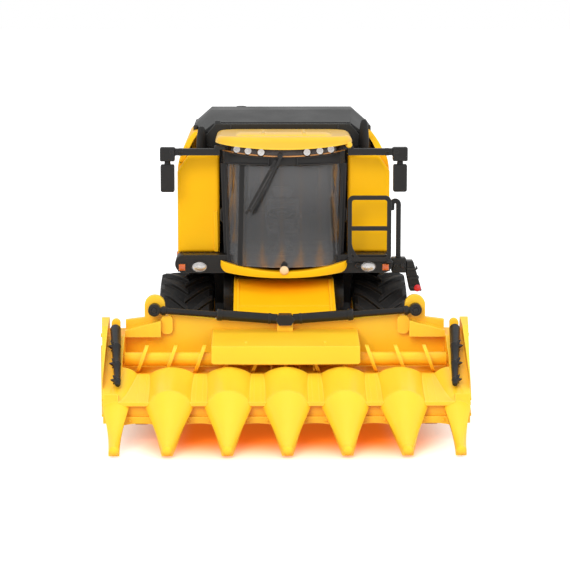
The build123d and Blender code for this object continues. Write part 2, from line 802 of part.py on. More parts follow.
# Black guards fill the space between chassis and side panels, between the wheels.
guard_low = 13.0
guard_corner = 4.0
guard_front = front_arch_rear + 1.0
guard_rear = rear_arch_front - 1.0
for side_name, side in (("left", 1), ("right", -1)):
    with BuildPart() as guard:
        with BuildSketch(Plane.YZ.offset(side * chassis_half)):
            side_outline(
                (guard_front, guard_low + guard_corner),
                (guard_front + guard_corner, guard_low),
                (guard_rear - guard_corner, guard_low),
                (guard_rear, guard_low + guard_corner),
                (guard_rear, platform_low),
                (guard_front, platform_low),
            )
        extrude(amount=side * (core_half - chassis_half))
    save(guard, f"lower_guard_{side_name}")

# The tank cover: an upright arch in front, then a hipped lid that overhangs the sides.
cover_arch = ((20.0, tank_top), (15.7, 60.6))
cover_base_half = shoulder_half - panel_wall - seat_gap
cover_arch_station = tank_front + 0.8
cover_arch_depth = 3.7
cover_base_front = tank_front + 4.0
cover_base_rear = tank_rear - 1.0
lid_low = shoulder_top + 0.1
lid_sections = (
    # station, half width at the rim, rim height, half width at the ridge, ridge height
    (tank_front + 3.0, 18.4, 58.9, 15.7, 60.9),
    (tank_front + 16.0, 21.0, 59.5, 17.0, 63.0),
    (tank_front + 28.0, 21.0, 59.5, 17.0, 63.0),
    (tank_rear - 2.0, 19.8, 59.2, 16.0, 61.0),
)


def lid_wire(station, rim_half, rim_height, ridge_half, ridge_height):
    """Upright outline of the tank's lid at one station."""
    outline = across(station) * Polygon(
        (-rim_half, lid_low), (rim_half, lid_low), (rim_half, rim_height),
        (ridge_half, ridge_height), (-ridge_half, ridge_height), (-rim_half, rim_height),
        align=None)
    return outline.faces()[0].outer_wire()


lid = Solid.make_loft([lid_wire(*section) for section in lid_sections], True)
with BuildPart() as tank_cover:
    with BuildSketch(across(cover_arch_station)):
        (foot_half, foot_height), (head_half, head_height) = cover_arch
        Polygon((-foot_half, foot_height), (foot_half, foot_height),
                (head_half, head_height), (-head_half, head_height), align=None)
    extrude(amount=-cover_arch_depth)
    with BuildSketch(Plane.XY.offset(tank_top)):
        with Locations((0, at((cover_base_front + cover_base_rear) / 2))):
            Rectangle(2 * cover_base_half, cover_base_rear - cover_base_front)
    extrude(amount=lid_low - tank_top)
    add(lid)
save(tank_cover, "tank_cover")

deck_inset = 0.4
deck_round = 0.7
with BuildPart() as engine_deck:
    with BuildSketch(Plane.XY.offset(tank_top)):
        with Locations((0, at((tank_rear + deck_rear) / 2))):
            Rectangle(2 * (core_top_half - deck_inset), deck_rear - tank_rear)
    extrude(amount=deck_height)
    fillet(engine_deck.faces().sort_by(Axis.Z)[-1].edges(), deck_round)
save(engine_deck, "engine_deck")

exhaust_x = -10.0
exhaust_radius = 1.3
exhaust_height = 3.8
exhaust_round = 0.4
with BuildPart() as exhaust:
    with BuildSketch(Plane.XY.offset(tank_top + deck_height)):
        with Locations((exhaust_x, at((tank_rear + deck_rear) / 2))):
            Circle(exhaust_radius)
    extrude(amount=exhaust_height)
    fillet(exhaust.faces().sort_by(Axis.Z)[-1].edges(), exhaust_round)
save(exhaust, "exhaust")

post_depth = 2.0
post_station = tank_front - 1.3     # middle of the posts
posts = (
    # side, inner X, outer X, top
    (-1, 18.4, 19.4, 60.4),
    (1, 17.8, 19.6, 61.8),
)
with BuildPart() as tank_posts:
    for side, inner_x, outer_x, top in posts:
        with BuildSketch(Plane.XY.offset(core_shoulder)):
            with Locations((side * (inner_x + outer_x) / 2, at(post_station))):
                Rectangle(outer_x - inner_x, post_depth)
        extrude(amount=top - core_shoulder)
save(tank_posts, "tank_posts")

# The straw hood is a shell, open below over the chopper.
hood_wall = 1.6
hood_low = rear_arch_low
hood_round = 3.0
tail_light_depth = 0.8
hood_rear = overall_length - tail_light_depth
hood_profile = (
    # outer station, outer height, inner station, inner height
    (deck_rear, tank_top, deck_rear - past, tank_top - 3.4),
    (deck_rear + 6.0, tank_top - 0.8, deck_rear + 6.0, tank_top - 3.8),
    (hood_rear - 5.2, 45.5, hood_rear - 6.8, 44.2),
    (hood_rear, 33.0, hood_rear - hood_wall, 32.6),
)
with BuildPart() as straw_hood:
    with BuildSketch(Plane.YZ):
        side_outline(
            (deck_rear, hood_low),
            *[(outer_station, outer_height)
              for outer_station, outer_height, inner_station, inner_height in hood_profile],
            (hood_rear, hood_low),
        )
    extrude(amount=body_width / 2, both=True)
    fillet(straw_hood.edges().filter_by(Plane.YZ).group_by(Axis.Z)[-1], hood_round)
    with BuildSketch(Plane.YZ):
        side_outline(
            (deck_rear - past, hood_low - past),
            *[(inner_station, inner_height)
              for outer_station, outer_height, inner_station, inner_height in hood_profile],
            (hood_rear - hood_wall, hood_low - past),
        )
    extrude(amount=panel_inner_half, both=True, mode=Mode.SUBTRACT)
save(straw_hood, "straw_hood")

chopper_top_rear = chassis_rear_station + 9.0
chopper_rear = chassis_rear_station + 13.0
chopper_low = 15.0
chopper_lip = 3.5           # height of the upright rear edge
chopper_half = chassis_half + 1.5
with BuildPart() as straw_chopper:
    with BuildSketch(Plane.YZ):
        side_outline(
            (chassis_rear_station, chopper_low),
            (chassis_rear_station, chassis_top),
            (chopper_top_rear, chassis_top),
            (chopper_rear, chopper_low + chopper_lip),
            (chopper_rear, chopper_low),
        )
    extrude(amount=chopper_half, both=True)
save(straw_chopper, "straw_chopper")

hitch_hole_radius = 1.05
hitch_length = 7.0
hitch_width = 5.0
hitch_thickness = 2.0
hitch_hole_station = chassis_rear_station + hitch_length - 2.0
hitch_low = belly_height + belly_rise + 0.4
with BuildPart() as tow_hitch:
    hitch_middle = chassis_rear_station + hitch_length / 2
    with BuildSketch(Plane.XY.offset(hitch_low)):
        with Locations((0, at(hitch_middle))):
            Rectangle(hitch_width, hitch_length)
        with Locations((0, at(hitch_hole_station))):
            Circle(hitch_hole_radius, mode=Mode.SUBTRACT)
    extrude(amount=hitch_thickness)
save(tow_hitch, "tow_hitch")

tail_light_size = (3.0, 4.5)
tail_light_x = 19.0
tail_light_height = hood_low + 3.5
with BuildPart() as tail_lights:
    with BuildSketch(across(hood_rear)):
        with Locations((-tail_light_x, tail_light_height), (tail_light_x, tail_light_height)):
            Rectangle(*tail_light_size)
    extrude(amount=-tail_light_depth)
save(tail_lights, "tail_lights")

screen_radius = 7.0
screen_station = deck_rear - 9.0
screen_height = 42.0
screen_proud = 0.8
screen_round = 0.4
with BuildPart() as radiator_screen:
    with BuildSketch(Plane.YZ.offset(-body_width / 2)):
        with Locations((at(screen_station), screen_height)):
            Circle(screen_radius)
    extrude(amount=-screen_proud)
    fillet(radiator_screen.faces().sort_by(Axis.X)[0].edges(), screen_round)
save(radiator_screen, "radiator_screen")

# ---- unloading auger ----------------------------------------------------------------
tube_wall = 0.6
tube_bore_length = 12.0
tube_end = bay_rear - 5.5
collar_width = 0.7
socket_depth = 1.5 * elbow_radius   # how far the pin reaches up into the elbow

with BuildPart() as auger_turret:
    with BuildSketch(Plane.XY.offset(bay_low - turret_root)):
        with Locations((tube_x, at(turret_station))):
            Circle(turret_pin_radius)
    extrude(amount=turret_root + side_gap + socket_depth)
    with BuildSketch(Plane.XY.offset(bay_low)):
        with Locations((tube_x, at(turret_station))):
            Circle(turret_pin_radius + collar_width)
    extrude(amount=side_gap - running_gap)
save(auger_turret, "auger_turret")

with BuildPart() as unloading_tube:
    with BuildSketch(across(turret_station)):
        with Locations((tube_x, tube_height)):
            Circle(tube_radius)
    extrude(amount=turret_station - tube_end)
    with Locations(Pos(tube_x, at(turret_station), tube_height)):
        Cylinder(elbow_radius, 2 * elbow_radius)
    with BuildSketch(across(tube_end)):
        with Locations((tube_x, tube_height)):
            Circle(tube_radius - tube_wall)
    extrude(amount=tube_bore_length, mode=Mode.SUBTRACT)
    with BuildSketch(Plane.XY.offset(tube_height - elbow_radius)):
        with Locations((tube_x, at(turret_station))):
            Circle(turret_pin_radius + running_gap)
    extrude(amount=socket_depth, mode=Mode.SUBTRACT)
save(unloading_tube, "unloading_tube")

spout_length = 3.0
spout_drop = 0.3
spout_radii = (tube_radius + 0.1, tube_radius - 0.3)
with BuildPart() as unloading_spout:
    with BuildSketch(across(tube_end)):
        with Locations((tube_x, tube_height)):
            Circle(spout_radii[0])
    with BuildSketch(across(tube_end + spout_length)):
        with Locations((tube_x, tube_height - spout_drop)):
            Circle(spout_radii[1])
    loft()
    with BuildSketch(across(tube_end)):
        with Locations((tube_x, tube_height)):
            Circle(tube_radius - tube_wall)
    with BuildSketch(across(tube_end + spout_length)):
        with Locations((tube_x, tube_height - spout_drop)):
            Circle(spout_radii[1] - tube_wall)
    loft(mode=Mode.SUBTRACT)
save(unloading_spout, "unloading_spout")

# ---- feeder house -------------------------------------------------------------------
wall_station = 44.0         # back face of the header's rear wall and end plates
feeder_front_top = 21.9
feeder_front_low = 11.6
feeder_back_top = hinge_height + hinge_radius
feeder_slope_end = 64.0

with BuildPart() as feeder_house:
    with BuildSketch(Plane.YZ):
        side_outline(
            (wall_station, feeder_front_low),
            (hinge_station, hinge_height - hinge_radius),
            (hinge_station, feeder_back_top),
            (feeder_slope_end, feeder_back_top),
            (wall_station, feeder_front_top),
        )
        with Locations((at(hinge_station), hinge_height)):
            Circle(hinge_radius)
    extrude(amount=feeder_half, both=True)
    with Locations(Pos(0, at(hinge_station), hinge_height) * Rot(Y=90)):
        Cylinder(hinge_pin_radius + running_gap, 2 * feeder_half, mode=Mode.SUBTRACT)
save(feeder_house, "feeder_house")

# ---- header: snouts and decks -------------------------------------------------------
snout_low = 4.3
tip_radius = 1.1
tip_station = 1.1
tip_height = 1.5            # middle of the rounded tip
break_station = 14.0        # where the bright front cone meets the barrel
break_half = 4.9
break_spring = 7.7
break_crown = 11.1
break_foot = 0.66           # share of the half width that is left at the foot
neck_station = 7.0          # where the cone is slender
neck_width = 0.52           # shares of the cone's sizes at its break
neck_foot = 0.44
neck_low = 0.52
neck_spring = 3.9
neck_crown = 0.53
barrel_rear = 28.0
strip_width = 2.6           # deck between two barrels
barrel_half = (row_pitch - strip_width) / 2
barrel_spring = 12.0
barrel_crown = 13.45
end_tip_inset = 1.4         # end snouts stand closer than the rows
end_break_half = 2.75
end_break_crown = 8.9
header_half = row_count * row_pitch / 2 + 3.8
plate_thickness = 1.8
divider_inner = header_half - 5.3
end_tip_x = row_count * row_pitch / 2 - end_tip_inset
end_snout_splay = 0.4       # how much wider the end snouts stand at the break


def arch_wire(station, centre_x, half_width, foot_half_width, low, spring, crown):
    """Upright outline with a round top and sides that draw in below, facing forward."""
    left, right = centre_x - half_width, centre_x + half_width
    with BuildSketch(across(station), mode=Mode.PRIVATE) as arch:
        with BuildLine():
            Polyline((left, spring), (centre_x - foot_half_width, low),
                     (centre_x + foot_half_width, low), (right, spring))
            ThreePointArc((right, spring), (centre_x, crown), (left, spring))
        make_face()
    return arch.sketch.faces()[0].outer_wire()


def snout_solid(tip_x, break_x, break_half_width, crown, rear_x, rear_half_width):
    """Bell-shaped cone with a rounded tip, running back into a shallow barrel."""
    neck_share = (neck_station - tip_station) / (break_station - tip_station)
    tip_wire = arch_wire(tip_station, tip_x, tip_radius, tip_radius, tip_height - tip_radius,
                         tip_height, tip_height + tip_radius)
    neck_wire = arch_wire(neck_station, tip_x + (break_x - tip_x) * neck_share,
                          break_half_width * neck_width, break_half_width * neck_foot,
                          snout_low * neck_low, neck_spring, crown * neck_crown)
    break_wire = arch_wire(break_station, break_x, break_half_width,
                           break_half_width * break_foot, snout_low, break_spring, crown)
    rear_wire = arch_wire(barrel_rear, rear_x, rear_half_width, rear_half_width, snout_low,
                          barrel_spring, barrel_crown)
    cone = Solid.make_loft([tip_wire, neck_wire, break_wire])
    barrel = Solid.make_loft([break_wire, rear_wire], True)
    tip = Pos(tip_x, at(tip_station), tip_height) * Sphere(tip_radius)
    return (tip + cone + barrel).solids()[0]


snout_x = [(row - row_count / 2) * row_pitch for row in range(1, row_count)]
snout_solids = [snout_solid(x, x, break_half, break_crown, x, barrel_half) for x in snout_x]
with BuildPart() as snouts:
    for solid in snout_solids:
        add(solid)
save(snouts, "snouts")

# The outer end dividers carry a side plate, a half barrel and a narrow snout each.
end_barrel_inner = (row_count / 2 - 0.5) * row_pitch + strip_width / 2
end_barrel_middle = (end_barrel_inner + header_half - plate_thickness) / 2
end_barrel_half = (header_half - plate_thickness - end_barrel_inner) / 2
plate_taper = 2.2
auger_station = 33.0
auger_height = 14.3
auger_tube_radius = 1.45
flight_radius = 2.95
stub_radius = 0.8
stub_length = 2.0
knob_radius = 0.95
end_auger_top = (header_half - 3.4, 38.2, 20.4)
end_auger_foot = (header_half - 5.0, 18.0, 11.4)
knob_station = end_auger_top[1] + 0.8
knob_depth = 1.4
knob_height = end_auger_top[2] + 0.6
knob_stem = 3.6
divider_profile = (
    # station, height: the thick inner part of the end divider
    (break_station, snout_low),
    (break_station, break_spring + 2.8),
    (break_station + 3.0, 9.4),
    (end_auger_top[1], end_auger_top[2] - 2.0),
    (wall_station, end_auger_top[2] - 1.2),
    (wall_station, snout_low + 1.0),
    (barrel_rear, snout_low),
)
plate_profile = (
    # station, height: its outer side plate
    (break_station, snout_low),
    (break_station, break_spring + 3.0),
    (break_station + 3.0, 11.4),
    (end_auger_top[1] - 1.0, end_auger_top[2] + 0.3),
    (wall_station - 1.5, 21.6),
    (wall_station, 21.6),
    (wall_station, snout_low + 1.0),
    (barrel_rear, snout_low),
)

end_snout_solids = {}
for side_name, side in (("left", 1), ("right", -1)):
    end_snout = snout_solid(side * end_tip_x, side * (end_tip_x + end_snout_splay), end_break_half,
                            end_break_crown, side * end_barrel_middle, end_barrel_half)
    end_snout_solids[side_name] = end_snout
    with BuildPart() as end_divider:
        add(end_snout)
        with BuildSketch(Plane.YZ.offset(side * divider_inner)):
            side_outline(*divider_profile)
        extrude(amount=side * (header_half - divider_inner))
        with BuildSketch(Plane.YZ.offset(side * (header_half - plate_thickness))):
            side_outline(*plate_profile)
        extrude(amount=side * plate_thickness)
        # A round-topped knob stands behind the end auger.
        with BuildSketch(across(knob_station)):
            with Locations((side * end_auger_top[0], knob_height)):
                Circle(knob_radius)
                Rectangle(2 * knob_radius, knob_stem, align=(Align.CENTER, Align.MAX))
        extrude(amount=-knob_depth)
        # The plate draws in towards the snout.
        with BuildSketch(Plane.XY):
            Polygon(
                (side * header_half, at(wall_station)),
                (side * (header_half - plate_taper), at(break_station)),
                (side * (header_half - plate_taper), at(0)),
                (side * 2 * header_half, at(0)),
                (side * 2 * header_half, at(wall_station)),
                align=None,
            )
        extrude(amount=chassis_top, mode=Mode.SUBTRACT)
        with Locations(Pos(side * divider_inner, at(auger_station), auger_height)
                       * Rot(Y=90)):
            Cylinder(stub_radius + running_gap, 2 * (stub_length + side_gap),
                     mode=Mode.SUBTRACT)
    save(end_divider, f"end_divider_{side_name}")

ledge_height = 8.76
ledge_thickness = 0.8
ledge_reach = 0.4
recess_depth = 1.0
lip_height = 5.7
deck_low = 3.6
arch_rise = 0.7
deck_rear_height = 12.0
arch_side = 1.4             # foot between two arches of the decks' underside
arch_half = row_pitch / 2 - arch_side
row_x = [(row + 0.5 - row_count / 2) * row_pitch for row in range(row_count)]
with BuildPart() as row_decks:
    with BuildSketch(Plane.YZ):
        side_outline(
            (break_station - ledge_reach, ledge_height - ledge_thickness),
            (break_station - ledge_reach, ledge_height),
            (barrel_rear, deck_rear_height),
            (barrel_rear, deck_low),
            (break_station, deck_low),
            (break_station, lip_height),
            (break_station + recess_depth, lip_height),
            (break_station + recess_depth, ledge_height - ledge_thickness),
        )
    extrude(amount=divider_inner, both=True)
    with BuildSketch(across(0)):
        for x in row_x:
            with BuildLine():
                ThreePointArc((x - arch_half, deck_low), (x, deck_low + arch_rise),
                              (x + arch_half, deck_low))
                Line((x + arch_half, deck_low), (x - arch_half, deck_low))
            make_face()
    extrude(amount=-through, mode=Mode.SUBTRACT)
    for solid in snout_solids:
        add(solid, mode=Mode.SUBTRACT)
    for solid in end_snout_solids.values():
        add(solid, mode=Mode.SUBTRACT)
save(row_decks, "row_decks")

# ---- header frame: trough, rear wall, beams and fold lugs -----------------------------
wall_thickness_header = 1.6
wall_front_station = wall_station - wall_thickness_header
trough_gap = 0.4
lug_x = 28.2
lug_height = 24.4
eye_height = lug_height - 0.8
lug_radius = 2.2
lug_neck = 3.6
beam_reach = 2.9
frame_low = snout_low
frame_rise = 1.5            # the trough's floor rises towards the back
trough_top = 12.8
trough_lip = 0.6            # trough's front edge below the decks
wall_low = 12.0
strap_size = (2.5, 4.0)     # rounded strap inside each lug
strap_round = 1.0
strap_depth = 1.2
strap_offset = 2.65
strap_height = 20.3
# half-width, height of the rear wall's top edge, from the middle outwards
wall_tops = ((0.0, 20.4), (11.0, 20.9), (15.3, 21.3), (25.0, 22.4), (28.2, 22.0),
             (divider_inner, 21.2))
beam_profile = (
    # X, height of the beam that carries the lug
    (divider_inner, 17.9),
    (lug_x - 1.4, 17.9),
    (lug_x - 1.4, 21.4),
    (divider_inner, 19.3),
)

with BuildPart() as header_frame:
    with BuildSketch(Plane.YZ):
        side_outline(
            (barrel_rear, frame_low),
            (wall_station, frame_low + frame_rise),
            (wall_station, trough_top),
            (wall_front_station, trough_top),
            (barrel_rear, deck_rear_height - trough_lip),
        )
        with Locations((at(auger_station), auger_height)):
            Circle(flight_radius + trough_gap, mode=Mode.SUBTRACT)
    extrude(amount=divider_inner, both=True)
    with BuildSketch(across(wall_front_station)):
        Polygon(
            *[(-x, top) for x, top in reversed(wall_tops)],
            *wall_tops[1:],
            (divider_inner, wall_low),
            (-divider_inner, wall_low),
            align=None,
        )
        with Locations((-lug_x, lug_height), (lug_x, lug_height)):
            Circle(lug_radius)
            Rectangle(2 * lug_radius, lug_neck, align=(Align.CENTER, Align.MAX))
    extrude(amount=-wall_thickness_header)
    for side in (-1, 1):
        with BuildSketch(across(wall_front_station - beam_reach)):
            Polygon(*[(side * x, height) for x, height in beam_profile], align=None)
        extrude(amount=-beam_reach)
        with BuildSketch(across(wall_front_station - strap_depth)):
            with Locations((side * (lug_x - strap_offset), strap_height)):
                RectangleRounded(*strap_size, strap_round)
        extrude(amount=-strap_depth)
save(header_frame, "header_frame")

# ---- auger cover, cross auger, end augers, fold cylinders -----------------------------
cover_half = 15.7
cover_wall = 0.6
cover_back = 19.3           # height at the rear wall
cover_edge = (28.8, 17.7)   # station and height of the bend
cover_foot = (28.3, 14.0)
with BuildPart() as auger_cover:
    with BuildSketch(Plane.YZ):
        side_outline(
            (wall_front_station, cover_back),
            cover_edge,
            cover_foot,
            (cover_foot[0] + cover_wall, cover_foot[1]),
            (cover_edge[0] + cover_wall, cover_edge[1] - cover_wall),
            (wall_front_station, cover_back - cover_wall),
        )
    extrude(amount=cover_half, both=True)
save(auger_cover, "auger_cover")

flight_pitch = 6.1
flight_tilt = 20.0
flight_thickness = 0.7
flight_count = 11
auger_length = 2 * (divider_inner - side_gap)
with BuildPart() as cross_auger:
    auger_axis = Pos(0, at(auger_station), auger_height) * Rot(Y=90)
    for flight in range(flight_count):
        step = flight - (flight_count - 1) // 2
        lean = 0 if step == 0 else -flight_tilt * step / abs(step)
        with Locations(Pos(step * flight_pitch, at(auger_station), auger_height)
                       * Rot(Y=90 + lean)):
            Cylinder(2 * flight_radius, flight_thickness)
    with Locations(auger_axis):
        Cylinder(flight_radius, auger_length, mode=Mode.INTERSECT)
        Cylinder(auger_tube_radius, auger_length)
        Cylinder(stub_radius, auger_length + 2 * (stub_length + side_gap))
save(cross_auger, "cross_auger")

end_core_radii = (0.6, 1.0)
ring_shares = (0.14, 0.4, 0.66, 0.92)   # of the length, from the foot
ring_proud = 0.45
ring_length = 0.8
with BuildPart() as end_augers:
    for side in (-1, 1):
        top = Vector(side * end_auger_top[0], at(end_auger_top[1]), end_auger_top[2])
        foot = Vector(side * end_auger_foot[0], at(end_auger_foot[1]), end_auger_foot[2])
        axis = top - foot
        foot_plane = Plane(origin=foot, z_dir=axis)
        with BuildSketch(foot_plane):
            Circle(end_core_radii[0])
        with BuildSketch(foot_plane.offset(axis.length)):
            Circle(end_core_radii[1])
        loft()
        for share in ring_shares:
            core_radius = end_core_radii[0] * (1 - share) + end_core_radii[1] * share
            with BuildSketch(foot_plane.offset(axis.length * share)):
                Circle(core_radius + ring_proud)
            extrude(amount=ring_length)
save(end_augers, "end_augers")

rod_radius = 0.7
sleeve_radius = 1.1
eye_radius = 1.33
knuckle_half = 2.0
knuckle_cut = 2.3           # height of the cut-off hexagon
knuckle_proud = 1.3
knuckle_height = 21.5
rod_root = (1.7, 21.6)    # X and height where a rod leaves the middle
sleeve_share = 0.48         # of the rod's length
rod_station = wall_front_station - 1.6
with BuildPart() as fold_cylinders:
    for side in (-1, 1):
        eye = Vector(side * lug_x, at(rod_station), eye_height)
        middle = Vector(side * rod_root[0], at(rod_station), rod_root[1])
        axis = eye - middle
        rod_plane = Plane(origin=middle, z_dir=axis)
        with BuildSketch(rod_plane):
            Circle(sleeve_radius)
        extrude(amount=axis.length * sleeve_share)
        with BuildSketch(rod_plane):
            Circle(rod_radius)
        extrude(amount=axis.length)
        with BuildSketch(across(rod_station - eye_radius / 2)):
            with Locations((side * lug_x, eye_height)):
                Circle(eye_radius)
        extrude(amount=-(wall_front_station - rod_station + eye_radius / 2))
    with BuildSketch(across(rod_station - knuckle_proud)):
        with Locations((0, knuckle_height)):
            RegularPolygon(knuckle_half, 6)
            Rectangle(2 * knuckle_half, knuckle_cut, mode=Mode.INTERSECT)
    extrude(amount=-(wall_front_station - rod_station + knuckle_proud))
save(fold_cylinders, "fold_cylinders")
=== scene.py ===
"""Looks for a toy combine harvester with a six-row maize header.

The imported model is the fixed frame.  Sizes inside the classes are millimetres in that
frame: the machine faces -Y, its own left side is +X and the floor is Z = 0.  Shape
turns them into metres when a piece is finished.
"""
from __future__ import annotations

import json
import logging
import math
from collections.abc import Callable, Sequence
from dataclasses import dataclass
from enum import Enum

import bmesh
import bpy
from mathutils import Matrix, Vector

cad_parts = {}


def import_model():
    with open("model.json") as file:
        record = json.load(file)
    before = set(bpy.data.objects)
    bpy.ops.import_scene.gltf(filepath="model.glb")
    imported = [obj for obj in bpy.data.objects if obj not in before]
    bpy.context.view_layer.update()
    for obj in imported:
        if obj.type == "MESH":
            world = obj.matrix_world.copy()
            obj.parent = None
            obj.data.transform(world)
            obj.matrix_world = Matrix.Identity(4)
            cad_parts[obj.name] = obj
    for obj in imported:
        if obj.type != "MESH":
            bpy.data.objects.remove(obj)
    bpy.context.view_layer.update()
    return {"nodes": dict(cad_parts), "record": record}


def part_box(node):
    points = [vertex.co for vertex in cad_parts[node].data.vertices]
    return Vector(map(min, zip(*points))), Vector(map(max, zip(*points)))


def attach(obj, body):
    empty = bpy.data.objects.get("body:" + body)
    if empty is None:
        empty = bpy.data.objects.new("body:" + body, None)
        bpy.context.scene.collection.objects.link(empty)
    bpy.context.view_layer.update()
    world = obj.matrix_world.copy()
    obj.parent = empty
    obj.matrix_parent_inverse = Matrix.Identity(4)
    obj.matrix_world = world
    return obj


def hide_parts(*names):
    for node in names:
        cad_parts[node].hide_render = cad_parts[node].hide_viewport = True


LOG = logging.getLogger("combine")
MM = 0.001
UP = Vector((0.0, 0.0, 1.0))
ACROSS = Vector((1.0, 0.0, 0.0))
BACK = Vector((0.0, 1.0, 0.0))
Colour = tuple[float, float, float]
Point = Sequence[float]
CORNER_SIGNS = ((-1, -1), (1, -1), (1, 1), (-1, 1))


def shown(red: int, green: int, blue: int) -> Colour:
    """Linear colour for a colour as a screen shows it.

    Args:
        red: Screen value from 0 to 255.
        green: Screen value from 0 to 255.
        blue: Screen value from 0 to 255.

    Returns:
        The same colour in the linear values that a shader takes.
    """
    shares = (value / 255 for value in (red, green, blue))
    linear = [s / 12.92 if s <= 0.04045 else ((s + 0.055) / 1.055) ** 2.4 for s in shares]
    return linear[0], linear[1], linear[2]


class Slot(Enum):
    """The record's names for what each part is finished in."""

    BODY = "body_paint"
    HEADER = "header_plastic"
    BLACK = "black_plastic"
    BAND = "dark_band"
    COVER = "cover_plastic"
    GLASS = "clear_glass"
    TYRE = "tyre_rubber"
    RIM = "rim_paint"
    STEEL = "axle_steel"
    LAMP = "lamp_silver"
    AMBER = "amber"
    RED = "red"
    SEAT = "seat_plastic"
    TUBE = "tube_paint"


class Side(Enum):
    """The machine's own sides, with the sign of X on each."""

    LEFT = 1
    RIGHT = -1

    @property
    def word(self) -> str:
        """The side as it stands in a node's name."""
        return self.name.lower()


class Place(Enum):
    """The bodies of the frame that pieces ride on."""

    MACHINE = "machine"
    HEADER = "header"
    CROSS_AUGER = "cross_auger"
    UNLOADER = "unloading_auger"


@dataclass(frozen=True)
class Box:
    """A node's box in millimetres."""

    low: Vector
    high: Vector

    @classmethod
    def of(cls, node: str) -> Box:
        """Box of a node of the frame.

        Args:
            node: Name of the node.

        Returns:
            Its box at rest.
        """
        low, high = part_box(node)
        return cls(low / MM, high / MM)

    @property
    def middle(self) -> Vector:
        """Middle of the box."""
        return (self.low + self.high) / 2

    @property
    def size(self) -> Vector:
        """Lengths of the box's sides."""
        return self.high - self.low


# ---- meshes -------------------------------------------------------------------------


